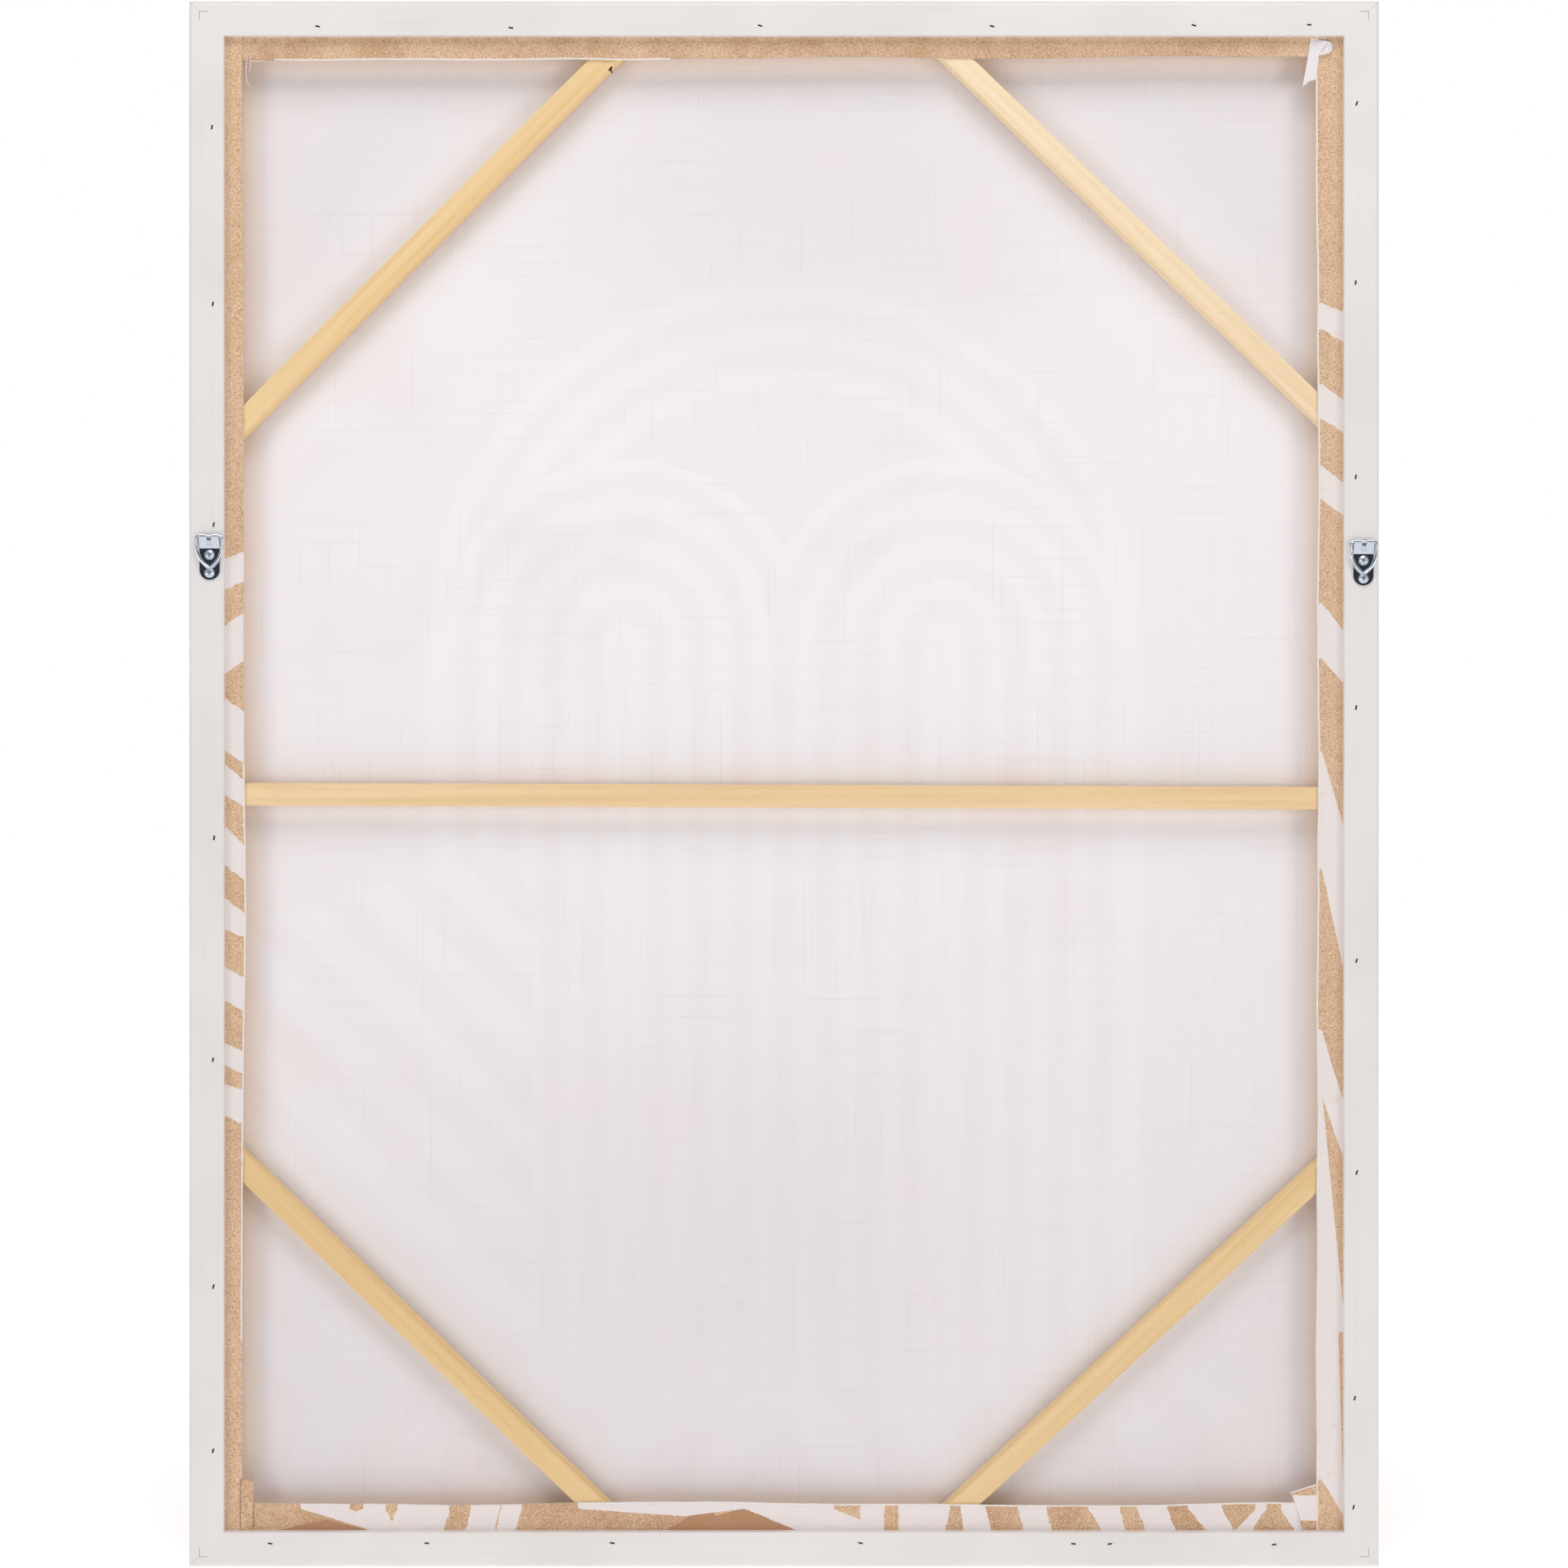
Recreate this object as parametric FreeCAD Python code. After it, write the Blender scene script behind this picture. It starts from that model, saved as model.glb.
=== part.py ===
"""A painted canvas on a braced wooden stretcher, held in a white floater frame.

The frame stands on its bottom edge. +Z is up, the painted side faces -Y and the
back faces +Y. The origin is the middle of the bottom edge. Left and right are
named as seen from the painted side, so right is +X. Millimetres throughout.
"""
import FreeCAD
import Part
import math
import os

V = FreeCAD.Vector

# Frame: four rails of an L section, mitred. The flange lies behind the panel.
FRAME_W = 950.0
FRAME_H = 1250.0
FRAME_D = 32.0
FLANGE_W = 27.8
FLANGE_T = 6.5
WALL_T = 6.0
BACK_ROUND = 3.5
FRONT_EASE = 0.8
FLANGE_EASE = 0.6
STEP_AT = 17.5
STEP_DROP = 0.5

# Panel: the stretcher with its cloth on.
GAP = 2.0
PANEL_SHIFT_X = 1.6
CLOTH_T = 0.6
BAR_W = 30.0
BAR_T = 18.0
BAR_BEVEL = 2.5
BAR_LAND = 6.0
BAR_EASE = 1.0
TAIL_W = 36.8

# Braces: distances of each centre line from the inner corner of the stretcher.
BRACE_W = 18.0
BRACE_T = 15.5
BRACE_EASE = 1.8
BRACE_REACH = {
    "brace_top_right": (300.7, 300.9),
    "brace_top_left": (302.2, 292.4),
    "brace_bottom_right": (294.1, 283.7),
    "brace_bottom_left": (300.7, 278.1),
}
CROSSBAR_DROP_RIGHT = 595.0
CROSSBAR_DROP_LEFT = 598.4

# Brads: T-headed, shot through the flange into the stretcher bars. Each is given as
# its distance along the rail, its inset from the outer edge, and its head's turn.
BRAD_HEAD = (3.8, 1.4, 1.0)
BRAD_SHANK = (1.25, 1.05)
BRAD_LENGTH = 20.0
BRAD_SUNK = 0.9
BRADS = {
    "top": ((-419.0, 19.3, -3.0), (-327.0, 19.7, -15.0), (-166.0, 20.4, -14.0),
            (19.0, 20.0, -15.0), (218.0, 21.7, -10.0), (372.0, 20.5, -12.0)),
    "bottom": ((-391.0, 18.2, 7.0), (-260.0, 18.7, 8.0), (-231.0, 18.8, -6.0),
               (-61.0, 19.4, -11.0), (137.0, 19.4, -9.0), (285.0, 19.3, -7.0), (410.0, 19.0, -9.0)),
    "right": ((93.0, 19.4, 72.0), (224.0, 19.8, 76.0), (405.0, 19.4, 81.0), (582.0, 20.3, 81.0),
              (832.0, 20.0, 81.0), (1008.0, 19.3, 80.0), (1149.0, 18.6, 77.0)),
    "left": ((48.0, 20.6, 73.0), (135.0, 19.6, 73.0), (315.0, 18.0, 72.0), (484.0, 18.2, 73.0),
             (686.0, 18.5, 79.0), (870.0, 18.8, 80.0), (1025.0, 18.9, 81.0), (1168.0, 18.0, 72.0)),
}
# One more brad, shot through the end of a brace.
BRACE_BRAD = (139.0, 1197.5, 51.0)
BRACE_BRAD_LENGTH = 14.0

# V-nails that hold the mitres, seen as thin L marks on the back.
VNAIL_INSET = 8.4
VNAIL_LEG = 7.5
VNAIL_T = 0.5
VNAIL_DEPTH = 5.0
BAR_VNAIL_INSET = (9.0, 20.0)
BAR_VNAIL_DEPTH = 12.0

# Staples: crown along the bar for the cloth, across the joint for the braces.
STAPLE_CROWN = 10.0
STAPLE_WIRE = 0.7
STAPLE_LEG = 8.0
STAPLE_INSET = 12.0
STAPLE_PITCH = 80.0

# Strap hangers, one on each side rail.
HANGERS = {"right": (458.0, 822.6), "left": (-462.0, 818.1)}
STRAP_W = 16.0
STRAP_T = 1.0
STRAP_END = 36.0
STRAP_FLAT_TOP = 9.5
STRAP_OFF = 0.1
STRAP_LEAN = 28.0
CURL_END = 190.0
CURL_STEP = 0.2
STRAP_TIP = 1.2
TAB_NARROW = 0.5
NOTCH_TOP_W = 6.2
NOTCH_LOW_W = 3.0
NOTCH_DEPTH = 5.6
RIB_R = 0.6
RIB_LENGTH = 3.2
RIB_DOWN = 3.2
RIB_PITCH = 1.7
RIB_COUNT = 3
PIVOT_UP = 2.35
BORE_CLEAR = 0.1
SCREWS_DOWN = (14.8, 29.1)
SCREW_HEAD_R = 4.0
SCREW_HEAD_H = 2.6
SCREW_EDGE = 0.8
SCREW_R = 1.75
SCREW_LENGTH = 16.0
SCREW_POINT = 3.0
SCREW_CROWN = 0.62
HOLE_CLEAR = 0.25
CROSS_W = 0.9
CROSS_REACH = 1.9
CROSS_DEPTH = 1.5

# D rings: a loop of wire whose straight side turns in the strap's curl.
WIRE_R = 1.1
RING_STRAIGHT = 7.9
RING_CORNER = 2.4
RING_SIDE = 4.0
RING_DROP = 25.0
RING_TIP_R = 2.4
RING_TILT = 3.3

BACK = FRAME_D / 2
FRONT = -BACK
FLANGE_FRONT = BACK - FLANGE_T
BAR_BACK = FLANGE_FRONT - CLOTH_T
BAR_FRONT = BAR_BACK - BAR_T
PANEL_W = FRAME_W - 2 * (WALL_T + GAP)
PANEL_H = FRAME_H - 2 * (WALL_T + GAP)
BARS_W = PANEL_W - 2 * CLOTH_T
BARS_H = PANEL_H - 2 * CLOTH_T
OPEN_W = BARS_W - 2 * BAR_W
OPEN_H = BARS_H - 2 * BAR_W
MID_Z = FRAME_H / 2
BEYOND = 100.0
SIDES = ("top", "bottom", "left", "right")


def save(node, shape):
    """Write one node, after checking that it is made of valid solids."""
    if not shape.isValid() or not shape.Solids:
        raise ValueError(f"{node} is not a valid solid")
    shape.exportStep(f"parts/{node}.step")
    print(f"{node:32s} {len(shape.Solids):3d} solids {shape.Volume:12.1f} mm3")


def group(solids):
    """Separate solids as one compound."""
    return Part.makeCompound(solids)


def profile(points):
    """A face from points and three-point arcs. An arc is a (through, end) pair."""
    edges = []
    start = points[0]
    for item in points[1:] + [points[0]]:
        if isinstance(item, tuple):
            through, end = item
            edges.append(Part.Arc(start, through, end).toShape())
        else:
            end = item
            edges.append(Part.LineSegment(start, end).toShape())
        start = end
    return Part.Face(Part.Wire(edges))


def mitred(section, side, width, height, shift=0.0):
    """Run a section along one side of a width by height rectangle.

    The section is drawn in the XY plane for the bottom side. Its X is the distance
    in from the outer edge and its Y is the row's Y. The ends are cut at 45 degrees.
    """
    length = width if side in ("top", "bottom") else height
    half = length / 2
    body = section.extrude(V(0, 0, length))
    body.translate(V(0, 0, -half))
    # Laid down, the distance in points up and the length runs along X.
    body.transformShape(FreeCAD.Matrix(0, 0, 1, 0, 0, 1, 0, 0, 1, 0, 0, 0, 0, 0, 0, 1))
    wedge = Part.Face(Part.makePolygon([
        V(-half, -BEYOND, 0), V(half, -BEYOND, 0), V(half - BEYOND, -BEYOND, BEYOND),
        V(-half + BEYOND, -BEYOND, BEYOND), V(-half, -BEYOND, 0)])).extrude(V(0, 2 * BEYOND, 0))
    body = body.common(wedge)
    turn = {"bottom": 0, "left": 90, "top": 180, "right": 270}[side]
    body.rotate(V(0, 0, 0), V(0, 1, 0), turn)
    place = {"bottom": V(0, 0, -height / 2), "top": V(0, 0, height / 2),
             "left": V(-width / 2, 0, 0), "right": V(width / 2, 0, 0)}[side]
    body.translate(place + V(shift, 0, MID_Z))
    return body.Solids[0] if len(body.Solids) == 1 else body


def on_rail(side, along, inset, y, shift=0.0, width=FRAME_W, height=FRAME_H):
    """The point at a distance along a side, and inset from its outer edge."""
    if side == "bottom":
        return V(along, y, MID_Z - height / 2 + inset)
    if side == "top":
        return V(along, y, MID_Z + height / 2 - inset)
    if side == "left":
        return V(-width / 2 + inset + shift, y, along)
    return V(width / 2 - inset + shift, y, along)


def block(size, centre, turn=0.0):
    """A box of size (x, y, z) about its centre, turned about the row's Y."""
    box = Part.makeBox(size[0], size[1], size[2])
    box.translate(V(-size[0] / 2, -size[1] / 2, -size[2] / 2))
    box.rotate(V(0, 0, 0), V(0, 1, 0), turn)
    box.translate(centre)
    return box


def frame_section():
    """The L section of the frame: an upright wall and a flange with a shallow step."""
    k = BACK_ROUND * (1 - math.sqrt(0.5))
    e = FRONT_EASE
    return profile([
        V(0, FRONT + e, 0),
        V(0, BACK - BACK_ROUND, 0),
        (V(k, BACK - k, 0), V(BACK_ROUND, BACK, 0)),
        V(STEP_AT, BACK, 0),
        V(FLANGE_W - FLANGE_EASE, BACK - STEP_DROP, 0),
        V(FLANGE_W, BACK - STEP_DROP - FLANGE_EASE, 0),
        V(FLANGE_W, FLANGE_FRONT, 0),
        V(WALL_T, FLANGE_FRONT, 0),
        V(WALL_T, FRONT + e, 0),
        V(WALL_T - e, FRONT, 0),
        V(e, FRONT, 0),
    ])


def bar_section():
    """The stretcher bar: a land under the cloth's edge, then a bevel that clears it."""
    e = BAR_EASE
    return profile([
        V(0, BAR_FRONT + e, 0),
        V(0, BAR_BACK - e, 0),
        V(e, BAR_BACK, 0),
        V(BAR_W, BAR_BACK, 0),
        V(BAR_W, BAR_FRONT + BAR_BEVEL, 0),
        V(BAR_LAND, BAR_FRONT, 0),
        V(e, BAR_FRONT, 0),
    ])


def wrap_section():
    """The cloth of one side: up the bar's edge, then over its back and a little past it."""
    c = CLOTH_T
    return profile([
        V(0, BAR_FRONT, 0),
        V(0, FLANGE_FRONT, 0),
        V(TAIL_W, FLANGE_FRONT, 0),
        V(TAIL_W, BAR_BACK, 0),
        V(c + BAR_EASE, BAR_BACK, 0),
        V(c, BAR_BACK - BAR_EASE, 0),
        V(c, BAR_FRONT, 0),
    ])


def brad(x, z, top, turn, whole):
    """A flat head on a thin shank, with its top at a height and of a whole length."""
    length, width, depth = BRAD_HEAD
    head = block((length, depth, width), V(x, top - depth / 2, z), turn)
    shank_l = whole - depth
    shank = block((BRAD_SHANK[0], shank_l, BRAD_SHANK[1]), V(x, top - depth - shank_l / 2, z), turn)
    return head.fuse(shank).removeSplitter().Solids[0]


def pocket(x, z, surface, turn):
    """The slit that a sunk brad leaves, open at the surface."""
    length, width, _depth = BRAD_HEAD
    return block((length, 2 * BRAD_SUNK, width), V(x, surface, z), turn)


def brads(side):
    """The brads of one rail."""
    solids = []
    for along, inset, turn in BRADS[side]:
        at = on_rail(side, along, inset, 0)
        solids.append(brad(at.x, at.z, BACK - BRAD_SUNK, turn, BRAD_LENGTH))
    return solids


def brad_pockets(side):
    """The slits in one rail's back face. Each is as deep as its brad is sunk."""
    pockets = []
    for along, inset, turn in BRADS[side]:
        at = on_rail(side, along, inset, 0)
        pockets.append(pocket(at.x, at.z, BACK, turn))
    return pockets


def v_nail(x, z, toward_x, toward_z, y_top, depth):
    """One V-nail: two thin legs that meet on the mitre and run along the two rails."""
    t = VNAIL_T
    a = VNAIL_LEG
    sx, sz = toward_x, toward_z
    points = [V(0, 0, 0), V(a, 0, 0), V(a, 0, t), V(t, 0, t), V(t, 0, a), V(0, 0, a)]
    placed = [V(x + p.x * sx, y_top, z + p.z * sz) for p in points]
    face = Part.Face(Part.makePolygon(placed + [placed[0]]))
    return face.extrude(V(0, -depth, 0))


def corner_signs():
    """The direction from each corner to the middle, as signs of x and z."""
    return [(sx, sz) for sz in (1, -1) for sx in (1, -1)]


def frame_v_nails():
    """One V-nail at each corner of the frame."""
    nails = []
    for sx, sz in corner_signs():
        x = -sx * (FRAME_W / 2 - VNAIL_INSET)
        z = MID_Z - sz * (FRAME_H / 2 - VNAIL_INSET)
        nails.append(v_nail(x, z, sx, sz, BACK, VNAIL_DEPTH))
    return nails


def bar_v_nails():
    """Two V-nails at each corner of the stretcher, under the cloth's tails."""
    nails = []
    for sx, sz in corner_signs():
        for inset in BAR_VNAIL_INSET:
            x = PANEL_SHIFT_X - sx * (BARS_W / 2 - inset)
            z = MID_Z - sz * (BARS_H / 2 - inset)
            nails.append(v_nail(x, z, sx, sz, BAR_BACK, BAR_VNAIL_DEPTH))
    return nails


def staple(centre, turn, into):
    """A staple with its crown at centre, legs driven along +Y or -Y (into is the sign)."""
    w = STAPLE_WIRE
    crown = block((STAPLE_CROWN, w, w), V(0, into * w / 2, 0))
    parts = [crown]
    for end in (-1, 1):
        x = end * (STAPLE_CROWN - w) / 2
        parts.append(block((w, STAPLE_LEG, w), V(x, into * STAPLE_LEG / 2, 0)))
    solid = parts[0].fuse(parts[1:]).removeSplitter().Solids[0]
    solid.rotate(V(0, 0, 0), V(0, 1, 0), turn)
    solid.translate(centre)
    return solid


def cloth_staples(side):
    """Staples through one tail, under the flange, clear of the brads and screws."""
    across = side in ("top", "bottom")
    half = (BARS_W if across else BARS_H) / 2 - BAR_W
    count = int(2 * half / STAPLE_PITCH)
    middle = 0.0 if across else MID_Z
    solids = []
    for i in range(count):
        along = middle + (i - (count - 1) / 2) * STAPLE_PITCH
        while any(abs(along - b[0]) < STAPLE_CROWN for b in BRADS[side]):
            along += STAPLE_CROWN
        if side in HANGERS:
            down = HANGERS[side][1] - along
            if any(abs(down - s) < STAPLE_CROWN for s in SCREWS_DOWN):
                continue
        at = on_rail(side, along, STAPLE_INSET, FLANGE_FRONT, PANEL_SHIFT_X, PANEL_W, PANEL_H)
        solids.append(staple(at, 0 if across else 90, -1))
    return solids


def opening_box(grow=0.0):
    """The stretcher's inner opening as a tall box."""
    box = Part.makeBox(OPEN_W + 2 * grow, 8 * FRAME_D, OPEN_H + 2 * grow)
    box.translate(V(PANEL_SHIFT_X - OPEN_W / 2 - grow, -4 * FRAME_D, MID_Z - OPEN_H / 2 - grow))
    return box


def brace_between(start, end):
    """A straight brace with eased edges, cut off where it meets the bars."""
    run = end - start
    length = run.Length + 4 * BRACE_W
    body = Part.makeBox(length, BRACE_T, BRACE_W)
    body.translate(V(-length / 2, -BRACE_T / 2, -BRACE_W / 2))
    long_edges = [e for e in body.Edges if abs(e.Length - length) < 0.01]
    body = body.makeFillet(BRACE_EASE, long_edges)
    turn = -math.degrees(math.atan2(run.z, run.x))
    body.rotate(V(0, 0, 0), V(0, 1, 0), turn)
    middle = (start + end) * 0.5
    back = BAR_FRONT + BAR_BEVEL + BRACE_T
    body.translate(V(middle.x, back - BRACE_T / 2, middle.z))
    return body.common(opening_box()).Solids[0]


def inner(x_side, z_side, dx, dz):
    """A point measured from an inner corner of the stretcher."""
    x = PANEL_SHIFT_X + x_side * (OPEN_W / 2 - dx)
    return V(x, 0, MID_Z + z_side * (OPEN_H / 2 - dz))


def brace_lines():
    """The two ends of each brace's centre line."""
    lines = {}
    for name, (dx, dz) in BRACE_REACH.items():
        sx = 1 if name.endswith("right") else -1
        sz = 1 if "top" in name else -1
        lines[name] = (inner(sx, sz, dx, 0), inner(sx, sz, 0, dz))
    lines["crossbar"] = (inner(-1, 1, 0, CROSSBAR_DROP_LEFT), inner(1, 1, 0, CROSSBAR_DROP_RIGHT))
    return lines


def brace_staples(lines):
    """A staple across each brace's joint with its bar, on the side under the cloth."""
    solids = []
    for start, end in lines.values():
        turn = -math.degrees(math.atan2(end.z - start.z, end.x - start.x))
        for at in (start, end):
            solids.append(staple(V(at.x, BAR_FRONT + BAR_BEVEL, at.z), turn, 1))
    return solids


def strap(x, z):
    """The strap: a flat plate, a slope, and a curl round the ring's straight side."""
    low = STRAP_OFF
    high = STRAP_OFF + STRAP_T
    r_in = WIRE_R + BORE_CLEAR
    r_out = r_in + STRAP_T
    p = PIVOT_UP

    def around(radius, degrees):
        """A point about the pivot, at an angle from straight out of the rail."""
        a = math.radians(degrees)
        return V(0, p + radius * math.cos(a), radius * math.sin(a))

    # The slope leaves the plate and meets the curl as a tangent, so many degrees down.
    inner_start = around(r_in, -STRAP_LEAN)
    outer_start = around(r_out, -STRAP_LEAN)
    middle = (CURL_END - STRAP_LEAN) / 2
    section = profile([
        V(0, low, -STRAP_END),
        V(0, low, -STRAP_FLAT_TOP),
        inner_start,
        (around(r_in, middle), around(r_in, CURL_END)),
        around(r_out, CURL_END),
        (around(r_out, middle), outer_start),
        V(0, high, -STRAP_FLAT_TOP - CURL_STEP),
        V(0, high, -STRAP_END),
    ])
    body = section.extrude(V(STRAP_W, 0, 0))
    body.translate(V(-STRAP_W / 2, 0, 0))
    # The notch between the two tabs opens the curl and narrows downward.
    deep = 3 * r_out
    low_z = r_out - NOTCH_DEPTH
    outline = [V(-NOTCH_TOP_W / 2, -deep, r_out + 1), V(NOTCH_TOP_W / 2, -deep, r_out + 1),
               V(NOTCH_LOW_W / 2, -deep, low_z), V(-NOTCH_LOW_W / 2, -deep, low_z)]
    notch = Part.Face(Part.makePolygon(outline + outline[:1])).extrude(V(0, 3 * deep, 0))
    body = body.cut(notch)
    # The tabs are a little narrower than the plate, to clear the ring's shoulders.
    for end in (-1, 1):
        shoulder = Part.makeBox(2 * TAB_NARROW, 3 * deep, 3 * r_out)
        shoulder.translate(V(end * STRAP_W / 2 - TAB_NARROW, -deep, -r_out))
        body = body.cut(shoulder)
    # Pressed ribs stiffen the slope below the notch.
    slope = (outer_start - V(0, high, -STRAP_FLAT_TOP - CURL_STEP)).normalize()
    for i in range(RIB_COUNT):
        rib_x = (i - (RIB_COUNT - 1) / 2) * RIB_PITCH
        top = outer_start - slope * RIB_DOWN + V(rib_x, 0, 0)
        foot = top - slope * RIB_LENGTH
        rib = Part.makeCylinder(RIB_R, RIB_LENGTH, foot, slope)
        body = body.fuse([rib, Part.makeSphere(RIB_R, foot), Part.makeSphere(RIB_R, top)])
    # The bottom end is round.
    radius = STRAP_W / 2
    round_z = -STRAP_END + radius + STRAP_TIP
    keep = Part.makeCylinder(radius, 2 * deep, V(0, -deep, round_z), V(0, 1, 0))
    upper = Part.makeBox(STRAP_W, 2 * deep, STRAP_END, V(-radius, -deep, round_z))
    body = body.common(keep.fuse(upper))
    for down in SCREWS_DOWN:
        hole = Part.makeCylinder(SCREW_R + HOLE_CLEAR, 2 * deep, V(0, -deep, -down), V(0, 1, 0))
        body = body.cut(hole)
    body.translate(V(x, BACK, z))
    return body.Solids[0]


def ring(x, z):
    """The D ring: a straight side, two corners, short sides, and long curves to a tip."""
    side_x = RING_STRAIGHT + RING_CORNER
    side_end = -RING_CORNER - RING_SIDE
    tip_z = -(RING_DROP - RING_TIP_R)
    rise = tip_z - side_end
    # The long curve's radius makes it tangent to the side and to the tip.
    curve = (side_x ** 2 + rise ** 2 - RING_TIP_R ** 2) / (2 * (side_x - RING_TIP_R))
    centre = V(side_x - curve, 0, side_end)
    toward = (V(0, 0, tip_z) - centre).normalize()
    angle = math.atan2(-toward.z, toward.x)

    def long_point(a):
        """A point on the right-hand long curve."""
        return centre + V(curve * math.cos(a), 0, -curve * math.sin(a))

    def flip(point):
        """The same point on the other side."""
        return V(-point.x, point.y, point.z)

    diagonal = RING_CORNER * math.sqrt(0.5)
    s, c = RING_STRAIGHT, RING_CORNER
    corner_mid = V(s + diagonal, 0, -c + diagonal)
    shoulder = V(side_x, 0, -c)
    hip = V(side_x, 0, side_end)
    near_tip = long_point(angle)
    tip = V(0, 0, -RING_DROP)
    edges = [
        Part.LineSegment(V(-s, 0, 0), V(s, 0, 0)).toShape(),
        Part.Arc(V(s, 0, 0), corner_mid, shoulder).toShape(),
        Part.LineSegment(shoulder, hip).toShape(),
        Part.Arc(hip, long_point(angle / 2), near_tip).toShape(),
        Part.Arc(near_tip, tip, flip(near_tip)).toShape(),
        Part.Arc(flip(near_tip), flip(long_point(angle / 2)), flip(hip)).toShape(),
        Part.LineSegment(flip(hip), flip(shoulder)).toShape(),
        Part.Arc(flip(shoulder), flip(corner_mid), V(-s, 0, 0)).toShape(),
    ]
    path = Part.Wire(edges)
    circle = Part.Wire(Part.makeCircle(WIRE_R, V(0, 0, 0), V(1, 0, 0)))
    body = path.makePipeShell([circle], True, False)
    body.rotate(V(0, 0, 0), V(1, 0, 0), RING_TILT)
    body.translate(V(x, BACK + PIVOT_UP, z))
    return body.Solids[0]


def screw(x, z):
    """A pan-head screw with a cross recess and a pointed shank."""
    seat = STRAP_OFF + STRAP_T
    r, h = SCREW_HEAD_R, SCREW_HEAD_H
    tip = seat - SCREW_LENGTH
    # The crown is one arc from the rim to the middle, a little fuller than a sphere.
    dome_mid = SCREW_EDGE + (h - SCREW_EDGE) * SCREW_CROWN
    half = profile([
        V(0, tip, 0),
        V(SCREW_R, tip + SCREW_POINT, 0),
        V(SCREW_R, seat, 0),
        V(r, seat, 0),
        V(r, seat + SCREW_EDGE, 0),
        (V(r * math.sqrt(0.5), seat + dome_mid, 0), V(0, seat + h, 0)),
    ])
    body = half.revolve(V(0, 0, 0), V(0, 1, 0), 360).Solids[0]
    reach, deep = 2 * CROSS_REACH, 2 * CROSS_DEPTH
    for size in ((reach, deep, CROSS_W), (CROSS_W, deep, reach)):
        body = body.cut(block(size, V(0, seat + h, 0)))
    body.translate(V(x, BACK, z))
    return body.Solids[0]


def main():
    """Build every piece, cut the fasteners out of what they pass through, and save."""
    os.makedirs("parts", exist_ok=True)
    nodes = {}
    for side in SIDES:
        nodes[f"frame_rail_{side}"] = mitred(frame_section(), side, FRAME_W, FRAME_H)
        nodes[f"stretcher_bar_{side}"] = mitred(bar_section(), side, BARS_W, BARS_H, PANEL_SHIFT_X)
        nodes[f"canvas_wrap_{side}"] = mitred(wrap_section(), side, PANEL_W, PANEL_H, PANEL_SHIFT_X)
    face = Part.makeBox(PANEL_W, CLOTH_T, PANEL_H)
    face.translate(V(PANEL_SHIFT_X - PANEL_W / 2, BAR_FRONT - CLOTH_T, MID_Z - PANEL_H / 2))
    nodes["canvas_face"] = face
    lines = brace_lines()
    for name, (start, end) in lines.items():
        nodes[name] = brace_between(start, end)

    fasteners = {}
    for side in SIDES:
        fasteners[f"frame_brads_{side}"] = brads(side)
        fasteners[f"canvas_staples_{side}"] = cloth_staples(side)
    fasteners["frame_corner_v_nails"] = frame_v_nails()
    fasteners["stretcher_corner_v_nails"] = bar_v_nails()
    fasteners["brace_staples"] = brace_staples(lines)
    x, z, turn = BRACE_BRAD
    brace_back = BAR_FRONT + BAR_BEVEL + BRACE_T
    fasteners["brace_brad"] = [brad(x, z, brace_back - BRAD_SUNK, turn, BRACE_BRAD_LENGTH)]
    nodes["brace_top_right"] = nodes["brace_top_right"].cut(pocket(x, z, brace_back, turn))
    for side, (x, z) in HANGERS.items():
        for where, down in zip(("upper", "lower"), SCREWS_DOWN):
            fasteners[f"{side}_hanger_screw_{where}"] = [screw(x, z - down)]

    for side in SIDES:
        rail = f"frame_rail_{side}"
        nodes[rail] = nodes[rail].cut(brad_pockets(side))
    wooden = list(nodes)
    for name in wooden:
        box = nodes[name].BoundBox
        near = [s for solids in fasteners.values() for s in solids if box.intersect(s.BoundBox)]
        if near:
            nodes[name] = nodes[name].cut(near)
    for side, (x, z) in HANGERS.items():
        nodes[f"{side}_hanger_strap"] = strap(x, z)
        nodes[f"{side}_hanger_ring"] = ring(x, z)
    for name, shape in nodes.items():
        solids = sorted(shape.Solids, key=lambda s: -s.Volume)
        save(name, solids[0])
        if len(solids) > 1:
            print("  left off:", [round(s.Volume, 2) for s in solids[1:]])
    for name, solids in fasteners.items():
        save(name, group(solids) if len(solids) > 1 else solids[0])


main()
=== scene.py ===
"""The look of a painted canvas on a braced stretcher, held in a white floater frame.

Metres throughout, in the frame's own axes: +Z is up, the painted side faces -Y and the
back, with the hangers, faces +Y. Left and right are as seen from the painted side.
"""

from __future__ import annotations

import logging
import math
import random
from dataclasses import dataclass, field
from enum import Enum
from typing import Callable, Sequence

import bmesh
import bpy
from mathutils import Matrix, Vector, noise


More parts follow.
